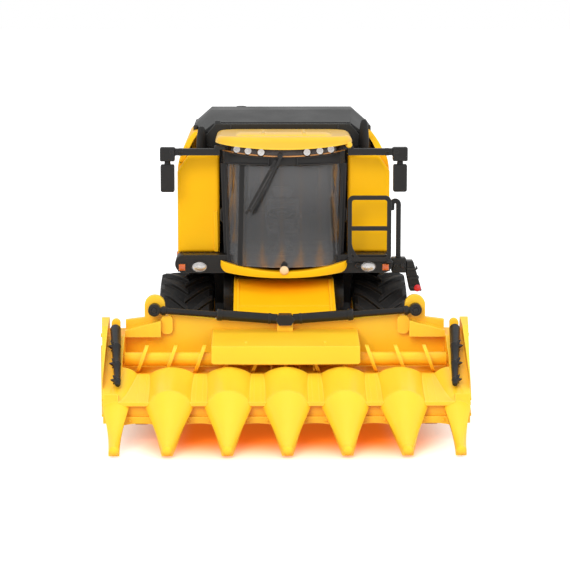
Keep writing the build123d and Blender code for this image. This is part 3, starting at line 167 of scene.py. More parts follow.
class Shape:
    """A mesh in millimetres that grows part by part and ends as one piece."""

    def __init__(self) -> None:
        """Starts with an empty mesh."""
        self.bm = bmesh.new()

    def _face(self, corners: Sequence[bmesh.types.BMVert]) -> None:
        """Adds one face, and leaves out a face that has no area."""
        distinct = list(dict.fromkeys(corners))
        if len(distinct) > 2:
            self.bm.faces.new(distinct)

    def loft(self, rings: Sequence[Sequence[Point]], closed: bool = False,
             caps: bool = True) -> None:
        """Joins rings of points, one after the other.

        Args:
            rings: Rings with as many points in each.
            closed: Joins the last ring to the first, as in a wheel.
            caps: Closes both ends with a face.
        """
        made = [[self.bm.verts.new(point) for point in ring] for ring in rings]
        count = len(made[0])
        pairs = list(zip(made, made[1:]))
        if closed:
            pairs.append((made[-1], made[0]))
        for first, second in pairs:
            for spot in range(count):
                after = (spot + 1) % count
                self._face((first[spot], first[after], second[after], second[spot]))
        if caps and not closed:
            self._face(made[0][::-1])
            self._face(made[-1])

    def prism(self, outline: Sequence[Point], along: Vector) -> None:
        """Pushes a flat outline along a vector.

        Args:
            outline: Corners in order.
            along: Direction and length of the push.
        """
        foot = [Vector(point) for point in outline]
        self.loft([foot, [point + along for point in foot]])

    def box(self, low: Point, high: Point) -> None:
        """Adds a box between two corners.

        Args:
            low: Lowest corner.
            high: Highest corner.
        """
        (x0, y0, z0), (x1, y1, z1) = low, high
        outline = [(x0, y0, z0), (x1, y0, z0), (x1, y1, z0), (x0, y1, z0)]
        self.prism(outline, UP * (z1 - z0))

    def plate(self, x: float, half: float, outline: Sequence[tuple[float, float]]) -> None:
        """Adds a plate that stands across the machine.

        Args:
            x: Its middle.
            half: Half its thickness.
            outline: Corners in (y, z) pairs.
        """
        self.prism([(x - half, y, z) for y, z in outline], ACROSS * (2 * half))

    def lathe(self, profile: Sequence[tuple[float, float]], centre: Point,
              axis: Vector = ACROSS, steps: int = 48, closed: bool = False) -> None:
        """Turns a profile round an axis.

        Args:
            profile: Pairs of distance along the axis and radius.
            centre: Point on the axis where the distance is 0.
            axis: Direction of the axis.
            steps: Number of steps round.
            closed: Joins the profile's last point to its first.
        """
        turn = axis.normalized().to_track_quat("Z", "Y").to_matrix()
        rings = []
        for angle in turns(steps):
            spoke = (math.cos(angle), math.sin(angle))
            rings.append([Vector(centre) + turn @ Vector((spoke[0] * r, spoke[1] * r, a))
                          for a, r in profile])
        made = [[self.bm.verts.new(point) for point in ring] for ring in rings]
        last = len(profile) if closed else len(profile) - 1
        for step in range(steps):
            first, second = made[step], made[(step + 1) % steps]
            for spot in range(last):
                after = (spot + 1) % len(profile)
                self._face((first[spot], second[spot], second[after], first[after]))
        if not closed:
            for end in (0, -1):
                if profile[end][1] > 1e-6:
                    self._face([ring[end] for ring in made])

    def rod(self, start: Point, end: Point, radius: float, end_radius: float | None = None,
            steps: int = 20, edge: float = 0.0) -> None:
        """Adds a round rod, which may taper.

        Args:
            start: Middle of its first end.
            end: Middle of its other end.
            radius: Radius at the start.
            end_radius: Radius at the end, the same where it is left out.
            steps: Number of steps round.
            edge: Size of the chamfer at each end.
        """
        line = Vector(end) - Vector(start)
        far = radius if end_radius is None else end_radius
        profile = [(0.0, radius - edge), (edge, radius),
                   (line.length - edge, far), (line.length, far - edge)]
        if edge == 0.0:
            profile = [(0.0, radius), (line.length, far)]
        self.lathe(profile, start, line, steps)

    def sweep(self, path: Sequence[Point], section: Sequence[tuple[float, float]],
              side: Vector = UP, closed: bool = False) -> None:
        """Carries a flat section along a path.

        Args:
            path: Points that the section's origin follows.
            section: Outline in (sideways, along the side vector) pairs.
            side: Direction that the section's second value points in.
            closed: Joins the path's end to its start.
        """
        points = [Vector(point) for point in path]
        rings = []
        for spot, here in enumerate(points):
            before = points[spot - 1] if spot or closed else here
            after = points[(spot + 1) % len(points)] if spot < len(points) - 1 or closed else here
            ahead = (after - before).normalized()
            lateral = ahead.cross(side).normalized()
            upright = lateral.cross(ahead).normalized()
            rings.append([here + lateral * u + upright * v for u, v in section])
        self.loft(rings, closed)

    def tube(self, path: Sequence[Point], radius: float, steps: int = 10,
             side: Vector = UP, closed: bool = False) -> None:
        """Carries a circle along a path.

        Args:
            path: Points of its middle line.
            radius: Radius of the tube.
            steps: Number of steps round.
            side: Any direction that the path never takes.
            closed: Joins the path's end to its start.
        """
        ring = [(radius * math.cos(t), radius * math.sin(t)) for t in turns(steps)]
        self.sweep(path, ring, side, closed)

    def bolt(self, centre: Point, axis: Vector, radius: float, height: float,
             sides: int = 6) -> None:
        """Adds a bolt head with a chamfered edge and a hollow in its face.

        Args:
            centre: Middle of its seat.
            axis: Direction that the head faces.
            radius: Radius over its corners.
            height: Height of the head.
            sides: 6 for a hexagon, more for a round head.
        """
        profile = [(-0.1, radius), (height * 0.7, radius), (height, radius * 0.78),
                   (height, radius * 0.42), (height * 0.6, radius * 0.36)]
        self.lathe(profile, centre, axis, sides)

    def mirrored(self) -> None:
        """Adds this shape's mirror image across X = 0."""
        copy = bmesh.ops.duplicate(self.bm, geom=self.bm.verts[:] + self.bm.edges[:]
                                   + self.bm.faces[:])["geom"]
        verts = [item for item in copy if isinstance(item, bmesh.types.BMVert)]
        faces = [item for item in copy if isinstance(item, bmesh.types.BMFace)]
        bmesh.ops.scale(self.bm, vec=(-1, 1, 1), verts=verts)
        bmesh.ops.reverse_faces(self.bm, faces=faces)

    def piece(self, name: str, finish: bpy.types.Material, place: str, slot: Slot,
              rounding: float = 0.0, smooth_deg: float = 35.0) -> bpy.types.Object:
        """Ends the shape as a piece of the object.

        Args:
            name: Name of the piece.
            finish: Its material.
            place: Name of the body it rides on.
            slot: The record's slot for its finish; not used.
            rounding: Width of the rounding along its sharp edges.
            smooth_deg: Edges sharper than this stay sharp.

        Returns:
            The piece.
        """
        bmesh.ops.remove_doubles(self.bm, verts=self.bm.verts[:], dist=1e-4)
        bmesh.ops.recalc_face_normals(self.bm, faces=self.bm.faces[:])
        bmesh.ops.scale(self.bm, vec=(MM, MM, MM), verts=self.bm.verts[:])
        mesh = bpy.data.meshes.new(name)
        self.bm.to_mesh(mesh)
        self.bm.free()
        mesh.polygons.foreach_set("use_smooth", [True] * len(mesh.polygons))
        mesh.set_sharp_from_angle(angle=math.radians(smooth_deg))
        piece = bpy.data.objects.new(name, mesh)
        bpy.context.scene.collection.objects.link(piece)
        mesh.materials.append(finish)
        if rounding:
            round_edges(piece, rounding)
        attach(piece, place)
        LOG.info("%s: %d faces, on %s", name, len(mesh.polygons), place)
        return piece

    def ends(self, name: str, palette: Palette, slot: Slot, rounding: float = 0.0,
             place: Place = Place.MACHINE) -> bpy.types.Object:
        """Ends the shape as a piece in its slot's own finish.

        Args:
            name: Name of the piece.
            palette: The materials.
            slot: The record's slot for its finish.
            rounding: Width of the rounding along its sharp edges.
            place: The body it rides on.

        Returns:
            The piece.
        """
        return self.piece(name, palette.of(slot), place.value, slot, rounding)


def round_edges(piece: bpy.types.Object, width: float, sharp_deg: float = 38.0) -> None:
    """Rounds a piece's sharp edges, with flat faces kept flat.

    Args:
        piece: The piece or node.
        width: Width of the rounding in millimetres.
        sharp_deg: Edges sharper than this are rounded.
    """
    weld = piece.modifiers.new("close_seams", "WELD")
    weld.merge_threshold = 0.002 * MM
    bevel = piece.modifiers.new("round_edges", "BEVEL")
    bevel.width = width * MM
    bevel.segments = 2
    bevel.limit_method = "ANGLE"
    bevel.angle_limit = math.radians(sharp_deg)
    bevel.harden_normals = True
    bevel.use_clamp_overlap = True


def arc(centre: Point, radius: float, start_deg: float, end_deg: float, steps: int,
        first: Vector = ACROSS, second: Vector = UP) -> list[Vector]:
    """Points on an arc in the plane of two directions.

    Args:
        centre: Middle of the arc.
        radius: Its radius.
        start_deg: Angle of the first point, from the first direction.
        end_deg: Angle of the last point.
        steps: Number of steps between them.
        first: Direction of 0 degrees.
        second: Direction of 90 degrees.

    Returns:
        The points in order.
    """
    turns = [math.radians(start_deg + (end_deg - start_deg) * s / steps)
             for s in range(steps + 1)]
    return [Vector(centre) + first * radius * math.cos(t) + second * radius * math.sin(t)
            for t in turns]


def turns(steps: int) -> list[float]:
    """Angles of a full turn, in equal steps."""
    return [math.tau * step / steps for step in range(steps)]


def bar(foot: float, low: float, crown: float, high: float) -> list[tuple[float, float]]:
    """Section of a low bar.

    Args:
        foot: Half its width at the foot.
        low: Where its foot lies.
        crown: Half its width at the top.
        high: Where its top lies.

    Returns:
        The outline for a sweep.
    """
    return [(-foot, low), (foot, low), (crown, high), (-crown, high)]


# ---- finishes -----------------------------------------------------------------------


class Desk:
    """Makes and joins the nodes of one tree."""

    def __init__(self, tree: bpy.types.NodeTree) -> None:
        """Takes the tree and leaves it empty."""
        self.tree = tree
        tree.nodes.clear()

    def add(self, kind: str, **settings: object) -> bpy.types.Node:
        """Adds a node and sets its plain properties.

        Args:
            kind: Blender's name for the node.
            **settings: Properties of the node.

        Returns:
            The node.
        """
        node = self.tree.nodes.new(kind)
        for name, value in settings.items():
            setattr(node, name, value)
        return node

    def feed(self, target: bpy.types.NodeSocket, source: object) -> None:
        """Feeds a socket from another one, or sets it to a plain value."""
        if isinstance(source, bpy.types.NodeSocket):
            self.tree.links.new(source, target)
        else:
            target.default_value = source

    def maths(self, operation: str, *sources: object, clamp: bool = False) -> bpy.types.NodeSocket:
        """Adds a Math node.

        Args:
            operation: Name of the operation.
            *sources: Sockets or numbers for its inputs.
            clamp: Holds the result between 0 and 1.

        Returns:
            Its result.
        """
        node = self.add("ShaderNodeMath", operation=operation, use_clamp=clamp)
        for spot, source in enumerate(sources):
            self.feed(node.inputs[spot], source)
        return node.outputs[0]

    def spread(self, value: object, low: float, high: float, new_low: object = 0.0,
               new_high: object = 1.0, smooth: bool = True) -> bpy.types.NodeSocket:
        """Maps a range of values onto another range.

        Args:
            value: The value's socket.
            low: Start of its range.
            high: End of its range.
            new_low: Result at the start.
            new_high: Result at the end.
            smooth: Eases in and out.

        Returns:
            The mapped value.
        """
        node = self.add("ShaderNodeMapRange",
                        interpolation_type="SMOOTHSTEP" if smooth else "LINEAR")
        for spot, source in enumerate((value, low, high, new_low, new_high)):
            self.feed(node.inputs[spot], source)
        return node.outputs["Result"]

    def blend(self, share: object, first: object, second: object,
              kind: str = "MIX") -> bpy.types.NodeSocket:
        """Mixes two colours.

        Args:
            share: How much of the second shows.
            first: First colour.
            second: Second colour.
            kind: Blender's name for the way they mix.

        Returns:
            The mixed colour.
        """
        node = self.add("ShaderNodeMix", data_type="RGBA", blend_type=kind)
        for name, source in (("Factor_Float", share), ("A_Color", first), ("B_Color", second)):
            socket = next(s for s in node.inputs if s.identifier == name)
            self.feed(socket, (*source, 1.0) if isinstance(source, tuple) else source)
        return next(s for s in node.outputs if s.identifier == "Result_Color")

    def noise(self, size: object, detail: float = 2.0, roughness: float = 0.5,
              stretch: Point = (1, 1, 1)) -> bpy.types.NodeSocket:
        """Adds a noise that is fixed to the object.

        Args:
            size: Size of its lumps in metres.
            detail: Number of finer layers.
            roughness: Strength of the finer layers.
            stretch: Scale along each axis before the noise.

        Returns:
            Its value.
        """
        spot = self.add("ShaderNodeTexCoord").outputs["Object"]
        if tuple(stretch) != (1, 1, 1):
            mapping = self.add("ShaderNodeMapping")
            self.feed(mapping.inputs["Vector"], spot)
            mapping.inputs["Scale"].default_value = stretch
            spot = mapping.outputs[0]
        node = self.add("ShaderNodeTexNoise")
        self.feed(node.inputs["Vector"], spot)
        scale = 1.0 / size if isinstance(size, float) else self.maths("DIVIDE", 1.0, size)
        self.feed(node.inputs["Scale"], scale)
        node.inputs["Detail"].default_value = detail
        node.inputs["Roughness"].default_value = roughness
        return node.outputs["Fac"]


class Effects:
    """The shader node groups that more than one finish uses."""

    def __init__(self) -> None:
        """Builds each group once."""
        self.grain = self._group("mould_grain", self._grain, ("Grain Size", "Mottle Size"),
                                 ("Height", "Mottle"))
        self.edges = self._group("edge_light", self._edges, ("Radius", "Amount"), ("Edge",))
        self.hollow = self._group("painted_recess_shade", self._painted_recess_shade, ("Reach", "Amount"), ("Depth",))
        self.dust = self._group("settled_dust", self._dust, ("Amount", "Fleck Size"), ("Dust",))

    @staticmethod
    def _group(name: str, fill: Callable[[Desk, bpy.types.Node, bpy.types.Node], None],
               inputs: Sequence[str], outputs: Sequence[str]) -> bpy.types.NodeTree:
        """Makes a group with its sockets and fills it.

        Args:
            name: Name of the group.
            fill: Adds the nodes between the group's two ends.
            inputs: Names of its inputs.
            outputs: Names of its outputs.

        Returns:
            The group.
        """
        tree = bpy.data.node_groups.new(name, "ShaderNodeTree")
        for word in inputs:
            tree.interface.new_socket(word, in_out="INPUT", socket_type="NodeSocketFloat")
        for word in outputs:
            tree.interface.new_socket(word, in_out="OUTPUT", socket_type="NodeSocketFloat")
        desk = Desk(tree)
        fill(desk, desk.add("NodeGroupInput"), desk.add("NodeGroupOutput"))
        return tree

    @staticmethod
    def _grain(desk: Desk, given: bpy.types.Node, result: bpy.types.Node) -> None:
        """Fine skin of a moulded or sprayed surface, and slow changes of tone across it."""
        desk.feed(result.inputs["Height"], desk.noise(given.outputs["Grain Size"], 3.0, 0.6))
        slow = desk.noise(given.outputs["Mottle Size"], 2.0)
        desk.feed(result.inputs["Mottle"], desk.spread(slow, 0.3, 0.7))

    @staticmethod
    def _edges(desk: Desk, given: bpy.types.Node, result: bpy.types.Node) -> None:
        """Thin mask along outer edges, where paint is thin and corners catch the light."""
        rounded = desk.add("ShaderNodeBevel", samples=4)
        desk.feed(rounded.inputs["Radius"], given.outputs["Radius"])
        normal = desk.add("ShaderNodeNewGeometry").outputs["Normal"]
        product = desk.add("ShaderNodeVectorMath", operation="DOT_PRODUCT")
        desk.feed(product.inputs[0], rounded.outputs[0])
        desk.feed(product.inputs[1], normal)
        turned = desk.spread(product.outputs["Value"], 0.995, 0.88)
        desk.feed(result.inputs["Edge"],
                  desk.maths("MULTIPLY", turned, given.outputs["Amount"], clamp=True))

    @staticmethod
    def _painted_recess_shade(desk: Desk, given: bpy.types.Node, result: bpy.types.Node) -> None:
        """Mask of painted shade that grows in corners and recesses, where light arrives only by
        bounces.
        """
        shelter = desk.add("ShaderNodeAmbientOcclusion", samples=6)
        desk.feed(shelter.inputs["Distance"], given.outputs["Reach"])
        closed = desk.spread(shelter.outputs["AO"], 0.95, 0.25)
        desk.feed(result.inputs["Depth"],
                  desk.maths("MULTIPLY", closed, given.outputs["Amount"], clamp=True))

    @staticmethod
    def _dust(desk: Desk, given: bpy.types.Node, result: bpy.types.Node) -> None:
        """Thin flecked dust that lies on what faces up."""
        normal = desk.add("ShaderNodeNewGeometry").outputs["Normal"]
        parts = desk.add("ShaderNodeSeparateXYZ")
        desk.feed(parts.inputs[0], normal)
        upward = desk.spread(parts.outputs["Z"], 0.2, 1.0, 0.25, 1.0)
        flecks = desk.spread(desk.noise(given.outputs["Fleck Size"], 4.0, 0.7), 0.45, 0.75)
        lying = desk.maths("MULTIPLY", upward, flecks)
        desk.feed(result.inputs["Dust"],
                  desk.maths("MULTIPLY", lying, given.outputs["Amount"], clamp=True))

    @staticmethod
    def place(desk: Desk, group: bpy.types.NodeTree, **values: float) -> bpy.types.Node:
        """Places a group in a material with its own values.

        Args:
            desk: The material's tree.
            group: The shared effect.
            **values: Its inputs, with underscores for spaces.

        Returns:
            The group's node.
        """
        node = desk.add("ShaderNodeGroup", node_tree=group)
        for name, value in values.items():
            node.inputs[name.replace("_", " ")].default_value = value
        return node


DUST_COLOUR: Colour = (0.42, 0.40, 0.36)


@dataclass(frozen=True)
class Finish:
    """A moulded or painted surface, from its colours to the grain of its skin."""

    name: str
    colour: Colour
    # Painted shade: the colour that corners and recesses turn towards.
    painted_shade_colour: Colour       # what corners and recesses turn towards
    # Painted highlight along outer edges, together with thin paint there.
    edge_wear_and_highlight_colour: Colour
    roughness: float
    metallic: float = 0.0
    coat: float = 0.0
    coat_roughness: float = 0.05
    specular: float = 0.5
    mottle: float = 0.04        # share that the tone changes across the surface
    mottle_size: float = 0.009
    grain_size: float = 0.0004
    grain_height: float = 0.02  # millimetres
    # Width and strength of the painted edge highlight.
    edge_radius: float = 0.0004
    edge: float = 0.4
    # Reach and strength of the painted shade in corners and recesses.
    reach: float = 0.006
    hollow: float = 0.6
    dust: float = 0.05
    fleck_size: float = 0.0006
    dust_roughness: float = 0.3
    scatter: float = 0.0
    scatter_colour: Colour = (1.0, 0.3, 0.05)
    scatter_depth: float = 0.002

    def material(self, effects: Effects) -> bpy.types.Material:
        """Builds the finish's material.

        Args:
            effects: The shared effects.

        Returns:
            The material.
        """
        material = bpy.data.materials.new(self.name)
        material.use_nodes = True
        desk = Desk(material.node_tree)
        surface = desk.add("ShaderNodeBsdfPrincipled")
        end = desk.add("ShaderNodeOutputMaterial")
        desk.feed(end.inputs["Surface"], surface.outputs[0])
        for name, value in (("Metallic", self.metallic), ("Coat Weight", self.coat),
                            ("Coat Roughness", self.coat_roughness),
                            ("Specular IOR Level", self.specular),
                            ("Subsurface Weight", self.scatter),
                            ("Subsurface Radius", self.scatter_colour),
                            ("Subsurface Scale", self.scatter_depth)):
            surface.inputs[name].default_value = value
        grain = effects.place(desk, effects.grain, Grain_Size=self.grain_size,
                              Mottle_Size=self.mottle_size)
        edge = effects.place(desk, effects.edges, Radius=self.edge_radius, Amount=self.edge)
        hollow = effects.place(desk, effects.hollow, Reach=self.reach, Amount=self.hollow)
        dust = effects.place(desk, effects.dust, Amount=self.dust,
                             Fleck_Size=self.fleck_size)
        tone = desk.spread(grain.outputs["Mottle"], 0.0, 1.0, 1.0 - self.mottle,
                           1.0 + self.mottle, smooth=False)
        toned = desk.add("ShaderNodeHueSaturation")
        toned.inputs["Color"].default_value = (*self.colour, 1.0)
        desk.feed(toned.inputs["Value"], tone)
        # Painted shade: corners and recesses turn towards the painted shade colour.
        deep = desk.blend(hollow.outputs["Depth"], toned.outputs[0], self.painted_shade_colour)
        # Painted highlight along outer edges, where corners catch the light.
        lit = desk.blend(edge.outputs["Edge"], deep, self.edge_wear_and_highlight_colour)
        dusty = desk.blend(dust.outputs["Dust"], lit, DUST_COLOUR)
        desk.feed(surface.inputs["Base Color"], dusty)
        uneven = desk.spread(grain.outputs["Mottle"], 0.0, 1.0, self.roughness * 0.9,
                             self.roughness * 1.12, smooth=False)
        dull = desk.maths("MULTIPLY", dust.outputs["Dust"], self.dust_roughness)
        rough = desk.maths("ADD", uneven, dull, clamp=True)
        desk.feed(surface.inputs["Roughness"], rough)
        bump = desk.add("ShaderNodeBump")
        bump.inputs["Strength"].default_value = 1.0
        bump.inputs["Distance"].default_value = self.grain_height * MM
        desk.feed(bump.inputs["Height"], grain.outputs["Height"])
        desk.feed(surface.inputs["Normal"], bump.outputs[0])
        return material


@dataclass(frozen=True)
class SmokyGlass:
    """Thin tinted plastic that the inside of the cab shows through."""

    name: str = "smoky_glass"
    tint: Colour = (0.35, 0.35, 0.36)
    # Colour of the painted amber reflections in the glass.
    amber: Colour = (1.0, 0.5, 0.12)
    shade: Colour = (0.75, 0.75, 0.75)  # light that still reaches the cab
    roughness: float = 0.03
    clearness: float = 0.88     # the rest is haze
    bend: float = 1.6           # index of refraction
    # Sizes of the painted amber reflections.
    streak_size: float = 0.0009     # width of the upright amber streaks
    flame_pitch: float = 0.0043     # from one pointed streak to the next
    flame_height: float = 0.0062

    def material(self, effects: Effects) -> bpy.types.Material:
        """Builds the glass, which lets the lamps light the inside.

        Args:
            effects: The shared effects.

        Returns:
            The material.
        """
        material = bpy.data.materials.new(self.name)
        material.use_nodes = True
        desk = Desk(material.node_tree)
        end = desk.add("ShaderNodeOutputMaterial")
        surface = desk.add("ShaderNodeBsdfPrincipled")
        surface.inputs["Transmission Weight"].default_value = self.clearness
        surface.inputs["IOR"].default_value = self.bend
        grain = effects.place(desk, effects.grain, Grain_Size=0.004, Mottle_Size=0.012)
        tone = desk.spread(grain.outputs["Mottle"], 0.0, 1.0, 0.94, 1.06, smooth=False)
        toned = desk.add("ShaderNodeHueSaturation")
        # Painted amber reflections are mixed into the tint.
        desk.feed(toned.inputs["Color"], desk.blend(self._painted_amber_reflections(desk), self.tint, self.amber))
        # Painted reflection: the glass's tone changes with height.
        desk.feed(toned.inputs["Value"], desk.maths("MULTIPLY", tone, self._painted_reflection_tone(desk)))
        desk.feed(surface.inputs["Base Color"], toned.outputs[0])
        rough = desk.spread(grain.outputs["Mottle"], 0.0, 1.0, self.roughness * 0.6,
                            self.roughness * 1.4, smooth=False)
        desk.feed(surface.inputs["Roughness"], rough)
        bump = desk.add("ShaderNodeBump")
        bump.inputs["Distance"].default_value = 0.03 * MM
        desk.feed(bump.inputs["Height"], grain.outputs["Height"])
        desk.feed(surface.inputs["Normal"], bump.outputs[0])
        clear = desk.add("ShaderNodeBsdfTransparent")
        clear.inputs[0].default_value = (*self.shade, 1.0)
        path = desk.add("ShaderNodeLightPath")
        mix = desk.add("ShaderNodeMixShader")
        desk.feed(mix.inputs[0], path.outputs["Is Shadow Ray"])
        desk.feed(mix.inputs[1], surface.outputs[0])
        desk.feed(mix.inputs[2], clear.outputs[0])
        desk.feed(end.inputs["Surface"], mix.outputs[0])
        return material

    @staticmethod
    def _painted_reflection_tone(desk: Desk) -> bpy.types.NodeSocket:
        """Paints reflection into the glass's tone: darker at half height, where it mirrors least,
        lighter towards its top and foot.
        """
        box = Box.of("cab_glass")
        parts = desk.add("ShaderNodeSeparateXYZ")
        desk.feed(parts.inputs[0], desk.add("ShaderNodeTexCoord").outputs["Object"])
        away = desk.maths("ABSOLUTE", desk.maths("SUBTRACT", parts.outputs["Z"],
                                                 (box.middle.z - 2.0) * MM))
        return desk.spread(away, 0.0, box.size.z / 2 * MM, 0.7, 1.15)

    def _painted_amber_reflections(self, desk: Desk) -> bpy.types.NodeSocket:
        """Masks painted amber reflections: streaks along the upright edges and pointed ones over
        the foot.
        """
        box = Box.of("cab_glass")
        half, foot = box.size.x / 2 * MM, box.low.z * MM
        parts = desk.add("ShaderNodeSeparateXYZ")
        desk.feed(parts.inputs[0], desk.add("ShaderNodeTexCoord").outputs["Object"])
        across = desk.maths("ABSOLUTE", parts.outputs["X"])
        edge = desk.maths("MULTIPLY", desk.spread(across, half * 0.76, half * 0.84),
                          desk.spread(across, half * 0.985, half * 0.93))
        above = desk.spread(parts.outputs["Z"], foot + 0.0045, foot + 0.006)
        streaks = desk.spread(desk.noise(self.streak_size, 2.0, 0.6, (1, 1, 0.06)), 0.42, 0.62)
        upright = desk.maths("MULTIPLY", desk.maths("MULTIPLY", edge, above), streaks)
        pitch = self.flame_pitch
        wave = desk.maths("PINGPONG", desk.maths("ADD", parts.outputs["X"], pitch / 8), pitch / 2)
        rise = desk.spread(parts.outputs["Z"], foot, foot + self.flame_height, 1.0, 0.0,
                           smooth=False)
        ragged = desk.spread(desk.noise(0.0021, 2.0, 0.6, (1, 1, 0.3)), 0.3, 0.7, 0.35, 1.0)
        flame = desk.spread(desk.maths("SUBTRACT", desk.maths("MULTIPLY", rise, ragged),
                                       desk.maths("DIVIDE", wave, pitch / 2)),
                            -0.25, 0.6, 0.0, 0.6)
        inner = desk.spread(across, half * 0.8, half * 0.7)
        return desk.maths("MAXIMUM", upright, desk.maths("MULTIPLY", flame, inner))


GOLD = shown(252, 190, 18)
# Each finish gives its colour, then its painted shade colour for recesses, then its colour for
# painted edge highlights and thin paint on edges.
FINISHES: dict[Slot, Finish | SmokyGlass] = {
    Slot.BODY: Finish("golden_enamel", GOLD, shown(240, 158, 10), shown(255, 214, 70),
                      roughness=0.34, coat=0.03, coat_roughness=0.1, specular=0.1,
                      mottle=0.02, grain_size=0.0011, grain_height=0.005, edge=0.5,
                      reach=0.004, hollow=0.45, dust=0.0),
    Slot.HEADER: Finish("header_moulding", shown(255, 206, 46), shown(250, 158, 16),
                        shown(255, 226, 92), roughness=0.36, coat=0.12,
                        coat_roughness=0.2, specular=0.35, mottle=0.02,
                        grain_size=0.0007, grain_height=0.008, edge_radius=0.0005,
                        edge=0.4, reach=0.006, hollow=0.45, dust=0.0, scatter=0.05),
    Slot.BLACK: Finish("black_moulding", shown(29, 28, 28), shown(14, 13, 13),
                       shown(72, 71, 72), roughness=0.4, specular=0.4, mottle=0.12,
                       grain_size=0.0005, grain_height=0.025, edge=0.45, dust=0.02),
    Slot.BAND: Finish("brown_band", shown(46, 28, 14), shown(26, 16, 8),
                      shown(120, 84, 40), roughness=0.22, coat=0.5, mottle=0.08, edge=0.5),
    Slot.COVER: Finish("charcoal_cover", shown(40, 41, 41), shown(25, 25, 26),
                       shown(78, 78, 78), roughness=0.42, mottle=0.07,
                       grain_size=0.0006, grain_height=0.025, edge=0.5, dust=0.05),
    Slot.GLASS: SmokyGlass(),
    Slot.TYRE: Finish("tyre_rubber", shown(27, 26, 26), shown(13, 12, 12),
                      shown(60, 59, 58), roughness=0.5, specular=0.4, mottle=0.12,
                      grain_size=0.0005, grain_height=0.04, edge=0.5, dust=0.03),
    Slot.RIM: Finish("rim_enamel", GOLD, shown(214, 120, 4), shown(255, 214, 70),
                     roughness=0.32, coat=0.5, mottle=0.03, edge=0.5),
    Slot.STEEL: Finish("bright_steel", shown(190, 190, 192), shown(110, 110, 112),
                       shown(226, 226, 228), roughness=0.3, metallic=1.0, mottle=0.06,
                       grain_size=0.0003, grain_height=0.01),
    Slot.LAMP: Finish("lamp_silver", shown(222, 220, 219), shown(150, 146, 144),
                      shown(250, 250, 250), roughness=0.24, metallic=0.75, coat=0.6,
                      mottle=0.12, mottle_size=0.0012, grain_size=0.0005,
                      grain_height=0.05, edge=0.5),
    Slot.AMBER: Finish("amber_lens", shown(206, 92, 28), shown(140, 50, 12),
                       shown(246, 160, 80), roughness=0.18, coat=0.8, mottle=0.12,
                       mottle_size=0.0008, grain_size=0.0004, edge=0.5),
    Slot.RED: Finish("red_lens", shown(200, 22, 38), shown(120, 8, 18),
                     shown(246, 84, 90), roughness=0.18, coat=0.8, mottle=0.12,
                     mottle_size=0.0008, edge=0.5),
    Slot.SEAT: Finish("seat_moulding", shown(112, 110, 112), shown(58, 56, 58),
                      shown(176, 172, 174), roughness=0.5, mottle=0.1,
                      grain_size=0.0006, grain_height=0.04, edge=0.5),
    Slot.TUBE: Finish("tube_enamel", GOLD, shown(226, 130, 4), shown(255, 214, 70),
                      roughness=0.3, coat=0.6, coat_roughness=0.06, mottle=0.025,
                      grain_size=0.0011, grain_height=0.006, edge=0.5),
}
EXTRA_FINISHES: dict[str, Finish] = {
    "boss": Finish("cream_boss", shown(240, 205, 156), shown(196, 140, 84),
                   shown(255, 232, 200), roughness=0.35, coat=0.3, edge=0.5),
    "mirror": Finish("mirror_foil", shown(206, 210, 214), shown(120, 122, 126),
                     shown(236, 238, 240), roughness=0.08, metallic=1.0, mottle=0.03,
                     grain_size=0.002, grain_height=0.004),
    "mesh": Finish("dark_mesh", shown(34, 33, 34), shown(14, 14, 14), shown(80, 80, 82),
                   roughness=0.5, mottle=0.15, grain_size=0.0004, grain_height=0.05),
    "cab_amber": Finish("cab_amber_film", shown(176, 116, 52), shown(96, 58, 22),
                        shown(226, 172, 104), roughness=0.25, coat=0.5, mottle=0.2,
                        mottle_size=0.002, grain_size=0.0008, grain_height=0.05),
    # Paler copy of the body's paint with a strong, wide edge mask: painted sheen on the roof and
    # painted highlight along its edges.
    "roof": Finish("roof_enamel_painted_sheen", shown(240, 188, 52), shown(226, 160, 34),
                   shown(255, 206, 60), roughness=0.3, coat=0.3, coat_roughness=0.15,
                   specular=0.3, mottle=0.02, grain_size=0.0011, grain_height=0.005,
                   edge_radius=0.0009, edge=0.9, reach=0.004, hollow=0.4, dust=0.0),
}


class Palette:
    """Every material of the object, built once."""

    def __init__(self) -> None:
        """Builds the effects and then each finish."""
        self.effects = Effects()
        self._slots = {slot: finish.material(self.effects) for slot, finish in FINISHES.items()}
        self._extras = {name: finish.material(self.effects)
                        for name, finish in EXTRA_FINISHES.items()}

    def of(self, slot: Slot) -> bpy.types.Material:
        """Material of one of the record's slots."""
        return self._slots[slot]

    def extra(self, name: str) -> bpy.types.Material:
        """Material that no slot names."""
        return self._extras[name]


# ---- wheels -------------------------------------------------------------------------


